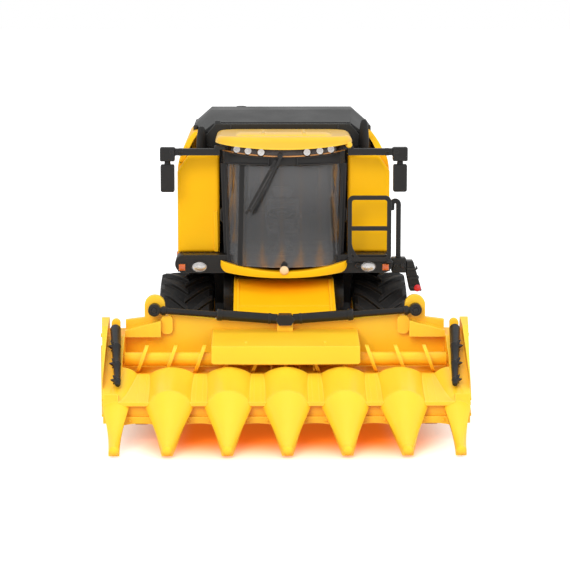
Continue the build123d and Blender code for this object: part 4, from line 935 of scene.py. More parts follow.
@dataclass
class Wheel:
    """A tyre with chevron lugs on a bolted rim."""

    axle: str
    side: Side
    lugs: int = 18
    lug_height: float = 0.85
    lug_width: float = 1.5
    sweep_deg: float = 26.0     # how far a lug turns from the middle to the shoulder
    sidewall_depth: float = 2.6     # how far the lugs run down the sidewall
    bolt_count: int = 8

    def __post_init__(self) -> None:
        """Reads the wheel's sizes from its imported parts."""
        self.tyre = Box.of(f"{self.axle}_{self.side.word}_tyre")
        self.rim = Box.of(f"{self.axle}_{self.side.word}_rim")
        self.radius = self.tyre.size.z / 2
        self.half = self.tyre.size.x / 2
        self.bore = self.rim.size.z / 2
        self.body = f"{self.axle}_{self.side.word}_wheel"

    def _at(self, x: float, angle: float, radius: float) -> Vector:
        """Point of the tyre at a distance across it, an angle up from the front and a radius."""
        return self.tyre.middle + Vector((x, -math.cos(angle) * radius, math.sin(angle) * radius))

    def _carcass(self, shape: Shape) -> None:
        """Adds the tyre's body, with a bead and two rings on each sidewall."""
        tread = self.radius - self.lug_height
        half, depth = self.half, self.radius - self.bore
        flank = [(0.35, tread), (0.82, tread - 0.15), (0.96, tread - 0.9),
                 (1.0, self.bore + depth * 0.55), (0.985, self.bore + depth * 0.42),
                 (1.0, self.bore + depth * 0.40), (1.0, self.bore + depth * 0.36),
                 (0.97, self.bore + depth * 0.34), (0.965, self.bore + depth * 0.16),
                 (0.99, self.bore + depth * 0.13), (0.99, self.bore + 0.12),
                 (0.93, self.bore)]
        profile = [(share * half, radius) for share, radius in flank]
        profile += [(-share * half, radius) for share, radius in reversed(flank)]
        shape.lathe(profile, self.tyre.middle, steps=96, closed=True)

    def _lug(self, shape: Shape, start: float, sign: int) -> None:
        """Adds one bar from the tread's middle over the shoulder."""
        root = self.radius - self.lug_height - 0.3
        crown = self.radius
        # Share of the half width, top radius, bottom radius.
        steps = ((-0.06, crown, root), (0.25, crown - 0.02, root), (0.55, crown - 0.06, root),
                 (0.8, crown - 0.2, root - 0.1), (0.95, crown - 0.55, root - 0.8),
                 (1.0, crown - self.sidewall_depth, root - self.sidewall_depth + 0.9))
        rings = []
        for share, top, low in steps:
            bend = start + math.radians(self.sweep_deg) * max(share, 0.0) ** 0.85
            wide = self.lug_width * (0.85 + 0.35 * max(share, 0.0)) / self.radius / 2
            x = sign * share * self.half
            low_x = sign * min(share, 0.93) * self.half
            rings.append([self._at(low_x, bend - wide * 1.25, low),
                          self._at(x, bend - wide * 0.8, top),
                          self._at(x, bend + wide * 0.8, top),
                          self._at(low_x, bend + wide * 1.25, low)])
        shape.loft(rings)

    def _rim_details(self, palette: Palette) -> None:
        """Adds the wheel's bolts, hub ring and valve."""
        sign = self.side.value
        web = self.rim.middle.x + sign * (self.rim.size.x / 2 - 3.4)
        out = ACROSS * sign
        hub = Vector((web, self.rim.middle.y, self.rim.middle.z))
        bolts = Shape()
        circle = (self.bore + 3.1) / 2
        for number in range(self.bolt_count):
            turn = math.tau * (number + 0.5) / self.bolt_count
            spot = hub + Vector((0, math.cos(turn) * circle, math.sin(turn) * circle))
            bolts.lathe([(0, 0.62), (0.18, 0.62), (0.18, 0.5), (0.7, 0.5), (0.85, 0.38),
                         (0.85, 0.2), (1.1, 0.2)], spot, out, 6)
        bolts.piece(f"{self.body}_bolts", palette.of(Slot.STEEL), self.body, Slot.STEEL)
        ring = Shape()
        ring.lathe([(0, 3.75), (0.35, 3.75), (0.5, 3.6), (0.5, 3.3), (0, 3.2)], hub, out, 40,
                   closed=True)
        ring.lathe([(0, self.bore - 0.75), (0.3, self.bore - 0.8), (0.5, self.bore - 1.1),
                    (0.3, self.bore - 1.4), (0, self.bore - 1.45)], hub, out, 56, closed=True)
        valve = hub + Vector((0, 0, self.bore - 1.9))
        ring.rod(valve, valve + out * 1.5, 0.28, 0.2, 10)
        ring.piece(f"{self.body}_rings", palette.of(Slot.RIM), self.body, Slot.RIM, 0.06)

    def build(self, palette: Palette) -> None:
        """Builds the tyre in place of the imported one, and what the rim carries."""
        shape = Shape()
        self._carcass(shape)
        pitch = math.tau / self.lugs
        for number in range(self.lugs):
            self._lug(shape, number * pitch, 1)
            self._lug(shape, (number + 0.5) * pitch, -1)
        tyre = shape.piece(f"{self.body}_lugged_tyre", palette.of(Slot.TYRE), self.body,
                           Slot.TYRE, 0.14)
        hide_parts(f"{self.axle}_{self.side.word}_tyre")
        self._rim_details(palette)


@dataclass
class RunningGear:
    """The four wheels, the axles' caps and the toy's underside."""

    nut_radius: float = 1.35
    nut_height: float = 0.8
    rib_height: float = 0.45
    belly_drop: float = 3.6      # from the tow hitch's lowest face down to the flat belly

    def _axle_caps(self, palette: Palette) -> None:
        """Puts a nut with a domed end on each axle's head."""
        for axle in ("front", "rear"):
            box = Box.of(f"{axle}_axle")
            caps = Shape()
            foot = Vector((box.high.x - 0.1, box.middle.y, box.middle.z))
            caps.lathe([(0, self.nut_radius), (self.nut_height * 0.8, self.nut_radius),
                        (self.nut_height, self.nut_radius * 0.86)], foot, ACROSS, 6)
            caps.lathe([(0.5, 0.75), (1.0, 0.7), (1.25, 0.45), (1.35, 0.0)], foot, ACROSS, 20)
            caps.lathe([(-0.1, box.size.z / 2 - 0.1), (0.22, box.size.z / 2 - 0.25),
                        (0.22, 1.2), (-0.1, 1.2)], foot, ACROSS, 40, closed=True)
            caps.mirrored()
            caps.ends(f"{axle}_axle_caps", palette, Slot.STEEL, 0.05)

    def _underside(self, palette: Palette) -> None:
        """Adds the base plate's ribs, bosses and screws under the chassis."""
        box = Box.of("chassis")
        low = Box.of("tow_hitch").low.z - self.belly_drop
        front, rear = Box.of("front_axle").middle.y, Box.of("rear_axle").middle.y
        half = Box.of("feeder_house").size.x / 2
        ribs = Shape()
        start, end = front + 5.0, box.high.y - 8.0
        for sign in (-1, 1):
            ribs.box((sign * (half - 1.2) - 0.5, start, low - self.rib_height),
                     (sign * (half - 1.2) + 0.5, end, low + 0.2))
        count = 6
        for number in range(count + 1):
            y = start + (end - start) * number / count
            ribs.box((-(half - 1.2), y - 0.4, low - self.rib_height * 0.8),
                     (half - 1.2, y + 0.4, low + 0.2))
        for y in (front + 14.0, rear - 12.0):
            ribs.lathe([(0, 2.5), (0.5, 2.4), (0.6, 2.2), (0.6, 1.4), (-0.3, 1.3)],
                       (0, y, low), -UP, 32, closed=True)
        ribs.ends("chassis_ribs", palette, Slot.BLACK, 0.1)
        screws = Shape()
        for sign in (-1, 1):
            for y in (front + 9.0, rear - 5.0, rear + 4.3):
                screws.lathe([(-0.2, 1.25), (0.35, 1.2), (0.55, 0.9), (0.55, 0.34), (0.2, 0.3)],
                             (sign * (half - 3.4), y, low), -UP, 24)
        screws.ends("chassis_screws", palette, Slot.STEEL, 0.05)

    def build(self, palette: Palette) -> None:
        """Builds the running gear's pieces."""
        for axle in ("front", "rear"):
            for side in Side:
                Wheel(axle, side, lugs=18 if axle == "front" else 16,
                      bolt_count=8 if axle == "front" else 6).build(palette)
        self._axle_caps(palette)
        self._underside(palette)


# ---- cab ----------------------------------------------------------------------------


@dataclass
class Seat:
    """The driver's moulded seat and the steering wheel in front of it."""

    cushion_rise: float = 3.1   # over the cab's floor
    ribs: int = 7
    spokes: int = 3

    def _back(self, shape: Shape, box: Box) -> None:
        """Adds the backrest with its ribs and side bolsters."""
        low = box.low.z + self.cushion_rise + 2.0
        high = box.high.z
        front = box.low.y + 6.3
        half = box.size.x / 2
        lean = 1.2 / (high - low)
        mid = box.middle.x
        split = low + (high - low) * 0.66

        def slab(z0: float, z1: float, wide: float, thick: float, bulge: float) -> None:
            """Adds one leaning pad between two heights."""
            rings = []
            for share in (0.0, 0.12, 0.5, 0.88, 1.0):
                z = z0 + (z1 - z0) * share
                y = front + lean * (z - low)
                swell = bulge * math.sin(math.pi * share)
                width = wide * (0.86 + 0.14 * math.sin(math.pi * (0.15 + 0.7 * share)))
                rings.append([(mid - width, y + thick, z), (mid - width, y, z),
                              (mid - width * 0.6, y - swell, z), (mid + width * 0.6, y - swell, z),
                              (mid + width, y, z), (mid + width, y + thick, z)])
            shape.loft(rings)

        slab(low, split, half, 1.7, 0.35)
        slab(split + 0.55, high, half * 0.62, 1.3, 0.45)
        for sign in (-1, 1):
            x = mid + sign * half * 0.25
            y = front + lean * (split - low) + 0.7
            shape.rod((x, y, split - 0.3), (x, y + 0.1, split + 0.9), 0.28, steps=10)
        for rib in range(self.ribs):
            z = low + 0.8 + (split - low - 1.6) * rib / (self.ribs - 1)
            y = front + lean * (z - low) - 0.42
            shape.rod((mid - half * 0.72, y, z), (mid + half * 0.72, y, z), 0.24, steps=8)
        for sign in (-1, 1):
            path = [(mid + sign * half * 0.94, front + lean * (z - low) - 0.15, z)
                    for z in (low, (low + split) / 2, split - 0.3)]
            shape.tube(path, 0.48, 10, ACROSS)

    def _cushion(self, shape: Shape, box: Box) -> None:
        """Adds the cushion, its pedestal and both armrests."""
        low = box.low.z + self.cushion_rise
        half = box.size.x / 2
        front, rear = box.low.y, box.low.y + 7.2
        mid = box.middle.x
        rings = []
        for y, lift, narrow in ((front, 0.5, 0.8), (front + 0.5, 0.1, 0.3), (rear - 1, 0, 0),
                                (rear, 0.3, 0.4)):
            wide = half - narrow
            rings.append([(mid - wide, y, low + lift), (mid + wide, y, low + lift),
                          (mid + wide, y, low + 1.6 - lift),
                          (mid + wide * 0.7, y, low + 1.95 - lift),
                          (mid - wide * 0.7, y, low + 1.95 - lift),
                          (mid - wide, y, low + 1.6 - lift)])
        shape.loft(rings)
        for rib in range(4):
            y = front + 1.2 + rib * 1.3
            shape.rod((mid - half * 0.66, y, low + 1.95), (mid + half * 0.66, y, low + 1.95), 0.22,
                      steps=8)
        shape.lathe([(0, 2.2), (0.4, 2.2), (0.7, 1.5), (2.2, 1.3), (2.6, 2.0), (3.2, 2.2)],
                    (mid, front + 4.0, box.low.z), UP, 24)
        for sign in (-1, 1):
            x = mid + sign * (half + 0.05)
            y0, y1, z = front + 1.8, rear - 0.2, low + 4.1
            shape.plate(x, 0.45, [(y0 + 0.5, z - 0.5), (y0, z), (y0 + 0.2, z + 0.4),
                                  (y1, z + 0.4), (y1, z - 0.5)])
            shape.rod((x, y1 - 0.5, low + 1.0), (x, y1 - 0.5, z - 0.2), 0.32, steps=10)

    def build(self, palette: Palette) -> None:
        """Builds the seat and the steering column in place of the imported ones."""
        box = Box.of("seat")
        shape = Shape()
        self._back(shape, box)
        self._cushion(shape, box)
        seat = shape.ends("seat_with_ribs", palette, Slot.SEAT, 0.1)
        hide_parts("seat")
        self._steering(palette)

    def _steering(self, palette: Palette) -> None:
        """Adds the steering column with a spoked wheel and two pedals."""
        box = Box.of("steering_column")
        mid = box.middle.x
        foot = Vector((mid, box.middle.y - 0.2, box.low.z))
        hub = Vector((mid, box.middle.y, box.high.z - 1.6))
        tilt = Vector((0, math.sin(math.radians(25)), math.cos(math.radians(25))))
        level = tilt.cross(ACROSS).normalized()
        radius = box.size.x / 2 - 0.4
        shape = Shape()
        rings = []
        for share, wide, deep in ((0, 1.3, 1.4), (0.2, 0.8, 0.95), (0.75, 0.7, 0.8), (1, 0.9, 0.7)):
            here = foot.lerp(hub, share)
            rings.append([here + Vector((u * wide, v * deep, 0)) for u, v in CORNER_SIGNS])
        shape.loft(rings)
        circle = arc(hub + tilt * 0.5, radius, 0, 360, 36, ACROSS, level)[:-1]
        shape.tube(circle, 0.38, 10, tilt, closed=True)
        for spoke in range(self.spokes):
            turn = math.radians(90 + 360 * spoke / self.spokes)
            rim = (hub + tilt * 0.5 + ACROSS * radius * math.cos(turn)
                   + level * radius * math.sin(turn))
            shape.rod(hub + tilt * 0.2, rim, 0.32, 0.24, 8)
        shape.lathe([(0, 0.9), (0.5, 0.95), (0.75, 0.7), (0.8, 0)], hub, tilt, 20)
        for sign in (-1, 1):
            x = mid + sign * 2.1
            shape.plate(x, 0.55, [(foot.y - 1.2, foot.z + 0.2), (foot.y - 0.9, foot.z),
                                  (foot.y + 0.5, foot.z), (foot.y + 0.2, foot.z + 0.9),
                                  (foot.y - 1.0, foot.z + 0.6)])
        wheel = shape.ends("steering_wheel", palette, Slot.BLACK, 0.06)
        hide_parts("steering_column")


@dataclass
class Cab:
    """What the glazed cab carries outside and inside."""

    visor_ends: tuple[tuple[float, float], ...] = ((-13.1, -3.3), (2.9, 12.6))
    brow: float = 1.3           # how far the lamp band bows down in the middle
    roof_half: float = 15.3
    lean: float = 3.5           # how far the glass leans back over its height
    wrap: float = 6.5           # how far it curves back to its sides
    band_bow: float = 6.0       # how far the lamp band curves back to its ends
    lamp_spots: tuple[float, ...] = (5.1, 8.0, 10.5)

    def __post_init__(self) -> None:
        """Reads the cab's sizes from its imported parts."""
        self.glass = Box.of("cab_glass")
        self.frame = Box.of("cab_frame")
        self.band = Box.of("light_band")
        self.trim = Box.of("cab_trim")
        self.foot_half = self.glass.size.x / 2 - 0.8
        self.head_half = self.glass.size.x / 2
        self.nose = self.glass.low.y
        self.low = self.glass.low.z

    def _brow_rise(self, x: float) -> float:
        """How far the lamp band stands above its middle at a distance from it."""
        return self.brow * (x / self.roof_half) ** 2

    def _screen(self, across: float, height: float, proud: float = 0.0) -> Vector:
        """Point on the windscreen.

        Args:
            across: Share of the half width, from -1 to 1.
            height: Height in millimetres.
            proud: Distance in front of the glass.

        Returns:
            The point.
        """
        share = (height - self.low) / (self.glass.high.z - self.low)
        half = self.foot_half + (self.head_half - self.foot_half) * share
        radius = (half ** 2 + self.wrap ** 2) / (2 * self.wrap)
        x = across * half
        bow = radius - math.sqrt(radius ** 2 - x ** 2)
        return Vector((x, self.nose + self.lean * share + bow - proud, height))

    def _gasket(self, palette: Palette) -> None:
        """Adds the rubber seal round the windscreen, with round lower corners."""
        low, high = self.trim.high.z - 2.5, self.glass.high.z - 0.1
        edge = 0.985
        path: list[Vector] = [self._screen(-edge, high - (high - low - 3.2) * s / 12, 0.12)
                              for s in range(13)]
        foot = low + 0.2
        for step in range(1, 9):
            turn = math.radians(90 * step / 8)
            path.append(self._screen(-edge + 0.16 * (1 - math.cos(turn)),
                                     foot + 3.0 * (1 - math.sin(turn)), 0.12))
        path += [self._screen(-edge + 0.16 + (edge - 0.16) * s / 8, foot, 0.12)
                 for s in range(1, 8)]
        path += [Vector((-point.x, point.y, point.z)) for point in reversed(path)]
        section = [(-0.3, -0.5), (0.3, -0.5), (0.3, 0.4), (0.1, 0.55), (-0.3, 0.55)]
        shape = Shape()
        shape.sweep(path, section, BACK)
        # A dark strip runs down the glass beside the wiper.
        inside = [self._screen(-0.67 - 0.09 * s / 6, high - (high - low) * s / 6, 0.03)
                  for s in range(7)]
        shape.sweep(inside, bar(0.95, -0.1, 0.95, 0.06), BACK)
        shape.ends("windscreen_seal", palette, Slot.BLACK, 0.08)

    def _visors(self, palette: Palette) -> None:
        """Adds the two outlined sun visors under the lamp band and the band's lip."""
        shape = Shape()
        top, low = self.band.low.z - 0.35, self.glass.high.z + 0.15
        for start, end in self.visor_ends:
            steps = 8
            upper = [self._screen((start + (end - start) * s / steps) / self.head_half,
                                  self.glass.high.z, 0.95) for s in range(steps + 1)]
            rim = [Vector((p.x, p.y, top + self._brow_rise(p.x))) for p in upper]
            rim += [Vector((p.x, p.y, low)) for p in reversed(upper)]
            shape.tube(rim, 0.22, 8, BACK, closed=True)
        shape.ends("visor_rims", palette, Slot.BLACK)
        lip = Shape()
        front = self.band.low.y
        half = self.band.size.x / 2
        radius = (half ** 2 + self.band_bow ** 2) / (2 * self.band_bow)
        path = []
        for step in range(25):
            x = half * 0.95 * (step / 12 - 1)
            path.append((x, front + radius - math.sqrt(radius ** 2 - x ** 2) + 0.1,
                         self.band.low.z + 0.05 + self._brow_rise(x)))
        lip.sweep(path, [(-0.2, -0.15), (0.25, -0.15), (0.25, 0.1), (0.0, 0.2), (-0.2, 0.2)], UP)
        lip.piece("band_lip", palette.extra("cab_amber"), Place.MACHINE.value, Slot.BAND)

    def _lamp_bezels(self, palette: Palette) -> None:
        """Adds a ring round each of the six work lamps."""
        shape = Shape()
        bow = self.band_bow / (self.band.size.x / 2) ** 2
        for x in self.lamp_spots:
            front = self.band.low.y + bow * x * x
            for sign in (-1, 1):
                shape.lathe([(0.0, 1.02), (0.45, 0.98), (0.62, 0.86), (0.5, 0.74), (0.0, 0.72)],
                            (sign * x, front + 0.1, self.band.low.z + 0.8 + self._brow_rise(x)),
                            -BACK, 24, closed=True)
        shape.ends("work_lamp_bezels", palette, Slot.BAND)

    def _trim(self, palette: Palette) -> None:
        """Adds the cream boss and the notch on the trim under the windscreen."""
        boss = Shape()
        face = self.trim.low.y
        centre = (0.0, face + 0.3, 30.2)
        boss.lathe([(0, 1.0), (0.45, 0.98), (0.75, 0.8), (0.9, 0.5), (0.95, 0.0)], centre, -BACK,
                   28)
        boss.piece("trim_boss", palette.extra("boss"), Place.MACHINE.value, Slot.BODY)
        notch = Shape()
        notch.lathe([(-0.4, 0.75), (0.3, 0.72), (0.45, 0.5), (0.45, 0.0)],
                    (0.0, self.nose - 0.1, 31.3), -BACK, 24)
        notch.ends("screen_foot_clip", palette, Slot.BLACK, 0.1)

    def _doors(self, palette: Palette) -> None:
        """Adds the doors' hinges and grips on both sides, and the rear window's rim."""
        handles = Shape()
        half = self.frame.size.x / 2
        front, rear = self.nose + 10.6, self.nose + 17.2
        for z in (37.5, 49.0):
            y = rear + 0.9
            handles.rod((half - 0.45, y, z - 1.0), (half - 0.45, y, z + 1.0), 0.5, steps=14,
                        edge=0.15)
            handles.box((half - 0.9, y - 1.6, z - 0.45), (half - 0.35, y, z + 0.45))
        z = 41.5
        grip = [(half - 0.6, front - 1.4, z - 1.6), (half - 0.1, front - 1.4, z - 1.1),
                (half - 0.1, front - 1.4, z + 1.1), (half - 0.6, front - 1.4, z + 1.6)]
        handles.tube(grip, 0.24, 8, BACK)
        handles.mirrored()
        rear_y = self.glass.high.y
        outline = [(-8.2, rear_y, 40.0), (8.2, rear_y, 40.0), (8.8, rear_y, 51.0),
                   (-8.8, rear_y, 51.0)]
        handles.tube([Vector(p) for p in outline], 0.35, 8, BACK, closed=True)
        handles.ends("cab_door_fittings", palette, Slot.BLACK, 0.06)

    def _roof(self, palette: Palette) -> None:
        """Adds the roof's raised field with its two low ribs, and the corner lug."""
        roof = Box.of("cab_roof")
        top = roof.high.z
        shape = Shape()
        mid_y = roof.middle.y
        plan = []
        for cx, cy, start in ((8.4, 6.6, 0), (-8.4, 6.6, 90), (-8.4, -6.6, 180), (8.4, -6.6, 270)):
            plan += arc((cx, mid_y + cy, top - 0.1), 2.6, start, start + 90, 6, ACROSS, BACK)
        inner = [Vector((p.x * 0.965, mid_y + (p.y - mid_y) * 0.965, top + 0.16)) for p in plan]
        shape.loft([plan, inner])
        for sign in (-1, 1):
            shape.box((sign * 4.6 - 0.35, mid_y - 6.5, top), (sign * 4.6 + 0.35, mid_y + 6.5,
                                                              top + 0.34))
        lug = Vector((roof.high.x - 0.9, roof.low.y + 4.4, roof.high.z - 2.0))
        shape.lathe([(-1.2, 0.75), (0.7, 0.72), (1.0, 0.5)], lug, Vector((0.25, -0.97, 0)), 20)
        # The raised field takes the roof paint with its painted sheen.
        shape.piece("roof_field", palette.extra("roof"), Place.MACHINE.value, Slot.BODY, 0.1)

    def _wiper(self, palette: Palette) -> None:
        """Replaces the wiper with an arm, a blade beside it and the pivot's boss."""
        box = Box.of("wiper")
        shape = Shape()
        front = box.low.y + 0.25
        pivot = Vector((box.high.x - 1.1, front, box.high.z - 1.0))
        foot = Vector((box.low.x + 0.55, front + 0.5, box.low.z + 0.5))
        along = (foot - pivot).normalized()
        beside = along.cross(BACK).normalized()
        arm = [pivot, pivot + along * 7.0 - BACK * 0.25, foot - along * 0.8]
        shape.sweep([p + beside * 0.36 for p in arm],
                    [(-0.26, -0.2), (0.26, -0.2), (0.26, 0.15), (0.0, 0.28), (-0.26, 0.15)],
                    BACK)
        shape.sweep([p - beside * 0.36 + BACK * 0.15 for p in (pivot + along * 1.4, foot)],
                    [(-0.32, -0.25), (0.32, -0.25), (0.25, 0.1), (0.0, 0.3), (-0.25, 0.1)],
                    BACK)
        for share in (0.25, 0.6, 0.92):
            spot = pivot.lerp(foot, share)
            shape.rod(spot - beside * 0.5, spot + beside * 0.5, 0.24, steps=8)
        shape.lathe([(-0.7, 0.62), (0.1, 0.6), (0.22, 0.45), (0.22, 0.0)], pivot, -BACK, 20)
        piece = shape.ends("wiper_arm_and_blade", palette, Slot.BLACK, 0.04)
        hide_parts("wiper")

    def build(self, palette: Palette) -> None:
        """Builds the cab's pieces."""
        self._gasket(palette)
        self._visors(palette)
        self._lamp_bezels(palette)
        self._trim(palette)
        self._doors(palette)
        self._roof(palette)
        self._wiper(palette)
        Seat().build(palette)


# ---- platform, rails and mirrors ----------------------------------------------------


def squares(middle: Point, steps: Sequence[tuple[float, float]]) -> list[list[Point]]:
    """Upright squares one behind the other.

    Args:
        middle: Where their middles line up.
        steps: Half the side of each and how far behind the middle it stands.

    Returns:
        The rings for a loft.
    """
    x, y, z = middle
    return [[(x + u * half, y + deep, z + v * half) for u, v in CORNER_SIGNS]
            for half, deep in steps]


@dataclass
class Platform:
    """Lamps, rails, ladder and mirrors round the platform."""

    reflector_radius: float = 0.8
    steps: int = 3

    def _lamps(self, palette: Palette) -> None:
        """Adds ribbed lenses and bezels to the headlights and the indicators."""
        lamps = Box.of("headlights")
        marks = Box.of("indicators")
        bezels, lenses, ambers = Shape(), Shape(), Shape()
        lamp_x = lamps.high.x - 1.6
        mark_x = marks.high.x - 0.75
        z, front = lamps.middle.z, lamps.low.y
        for sign in (-1, 1):
            ring = []
            for wide, deep, y in ((1.6, 1.1, 0.12), (1.95, 1.42, 0.05), (1.95, 1.42, 0.4),
                                  (1.6, 1.1, 0.4)):
                ring.append([(sign * lamp_x + wide * math.cos(t), front + y,
                              z + deep * math.sin(t))
                             for t in turns(40)])
            bezels.loft(ring, closed=True)
            dome = []
            for share in (1.0, 0.96, 0.82, 0.55, 0.25):
                dome.append([(sign * lamp_x + 1.6 * share * math.cos(t),
                              front + 0.1 - 0.5 * math.sqrt(1 - share ** 2),
                              z + 1.1 * share * math.sin(t))
                             for t in turns(36)])
            lenses.loft(dome)
            mark = (sign * mark_x, marks.low.y, marks.middle.z)
            bezels.loft(squares(mark, ((0.76, 0.1), (0.98, 0.05), (0.98, 0.4), (0.76, 0.4))),
                        closed=True)
            ambers.loft(squares(mark, ((0.74, 0.1), (0.7, -0.12), (0.5, -0.24), (0.2, -0.28))))
        # A small round lamp stands inside the machine's left headlight.
        spot = (lamp_x - 2.35, front + 0.3, z + 0.35)
        bezels.lathe([(0, 0.75), (0.4, 0.72), (0.55, 0.55), (0.45, 0.4), (0.3, 0)], spot, -BACK,
                     20)
        bezels.ends("lamp_bezels", palette, Slot.BLACK, 0.05)
        lenses.ends("headlight_lenses", palette, Slot.LAMP)
        ambers.ends("indicator_lenses", palette, Slot.AMBER, 0.05)

    def _deck(self, palette: Palette) -> None:
        """Adds the walkway's tread bars, the rail's feet and the ladder's steps."""
        deck = Box.of("platform")
        shape = Shape()
        top = deck.high.z
        inner = Box.of("cab_frame").high.x + 0.4
        outer = deck.high.x - 1.0
        y0, y1 = deck.low.y + 2.2, Box.of("front_panel_left").low.y - 0.3
        for sign in (-1, 1):
            for number in range(7):
                x = inner + (outer - inner) * (number + 0.5) / 7
                shape.box((sign * x - 0.16, y0, top - 0.1), (sign * x + 0.16, y1, top + 0.07))
        rail = Box.of("platform_rail")
        for x in (rail.low.x + 0.48, rail.high.x - 0.48):
            shape.lathe([(0, 0.95), (0.35, 0.9), (0.5, 0.65), (0.9, 0.6)],
                        (x, rail.middle.y, rail.low.z - 0.25), UP, 18)
        ladder = Box.of("ladder")
        block = Box.of("ladder_rail")
        for number in range(self.steps):
            z = ladder.low.z + 0.9 + number * 2.1
            shift = (ladder.high.x - ladder.low.x - 2.0) * (1 - number / self.steps) * 0.6
            x0 = ladder.low.x + shift
            shape.box((x0 - 0.2, ladder.low.y - 0.35, z - 0.22),
                      (x0 + 2.0, ladder.low.y + 0.1, z + 0.22))
            for rib in range(3):
                shape.box((x0 + 2.0, ladder.low.y + 0.5 + rib, z - 0.2),
                          (x0 + 2.3, ladder.low.y + 0.9 + rib, z + 0.3))
        foot = block.low.z
        for x in (block.low.x + 1.3, block.high.x - 0.9):
            shape.bolt((x, block.low.y, foot + 1.7), -BACK, 0.55, 0.3)
        shape.ends("platform_treads", palette, Slot.BLACK, 0.06)
        lens = Shape()
        spot = (ladder.high.x - 1.1, ladder.low.y - 0.1, ladder.low.z + 0.75)
        radius = self.reflector_radius
        lens.lathe([(0, radius), (0.25, radius), (0.45, radius * 0.75), (0.5, 0.0)], spot, -BACK,
                   24)
        lens.ends("ladder_reflector", palette, Slot.RED)

    def _mirrors(self, palette: Palette) -> None:
        """Adds the mirrors' glasses, hooked knuckles and clamp screws."""
        glass, fittings = Shape(), Shape()
        box = Box.of("mirror_left")
        x = box.high.x - 1.65
        y = box.middle.y
        head_low, head_high = box.low.z, box.low.z + 6.2
        rear = y + 0.8
        plate = [(x - 1.15, rear, head_low + 0.55), (x + 1.15, rear, head_low + 0.55),
                 (x + 1.2, rear, head_high - 0.5), (x - 1.2, rear, head_high - 0.5)]
        glass.prism(plate, BACK * 0.14)
        glass.mirrored()
        glass.piece("mirror_glasses", palette.extra("mirror"), Place.MACHINE.value, Slot.LAMP,
                    0.05)
        fittings.tube([Vector(p) + BACK * 0.05 for p in plate], 0.26, 8, BACK, closed=True)
        arm = box.high.z - 1.4
        fittings.rod((x - 0.9, y - 1.35, arm + 0.1), (x - 0.9, y - 1.0, arm + 0.1), 0.5, 0.6, 14)
        fittings.rod((x, y, head_high - 0.2), (x, y, head_high + 0.9), 0.75, 0.62, 16, 0.1)
        fittings.lathe([(0, 0.95), (0.8, 0.95), (0.9, 0.85)], (x - 3.4, y, arm), ACROSS, 6)
        fittings.mirrored()
        fittings.ends("mirror_fittings", palette, Slot.BLACK, 0.06)

    def build(self, palette: Palette) -> None:
        """Builds the platform's pieces."""
        self._lamps(palette)
        self._deck(palette)
        self._mirrors(palette)


# ---- upper body ---------------------------------------------------------------------


@dataclass(frozen=True)
class Slats:
    """A row of louvre slats on a side face, one above the other."""

    count: int
    pitch: float
    foot: float         # how far the section reaches below its level
    proud: float        # how far the lip stands out
    lip: float          # how far the lip lies below its level
    crown: float        # how far the section reaches above its level
    root: float = 0.05  # how far it starts inside the face

    def add(self, shape: Shape, sign: int, face: float, start: float, length: float,
            level: float) -> None:
        """Adds the row to a shape.

        Args:
            shape: The shape that holds the slats.
            sign: Sign of X on this side.
            face: Distance of the face from the middle.
            start: Front end of the slats.
            length: Their length.
            level: Height of the lowest slat.
        """
        for row in range(self.count):
            z = level + row * self.pitch
            shape.prism([(sign * (face - self.root), start, z - self.foot),
                         (sign * (face + self.proud), start, z - self.lip),
                         (sign * (face - self.root), start, z + self.crown)], BACK * length)


UPPER_SLATS = Slats(6, 1.15, 0.3, 0.35, 0.22, 0.38)
LOWER_SLATS = Slats(5, 1.1, 0.3, 0.3, 0.22, 0.36)
HOOD_SLATS = Slats(4, 1.3, 0.3, 0.32, 0.2, 0.4)
GUARD_SLATS = Slats(4, 1.1, 0.25, 0.35, 0.18, 0.35)


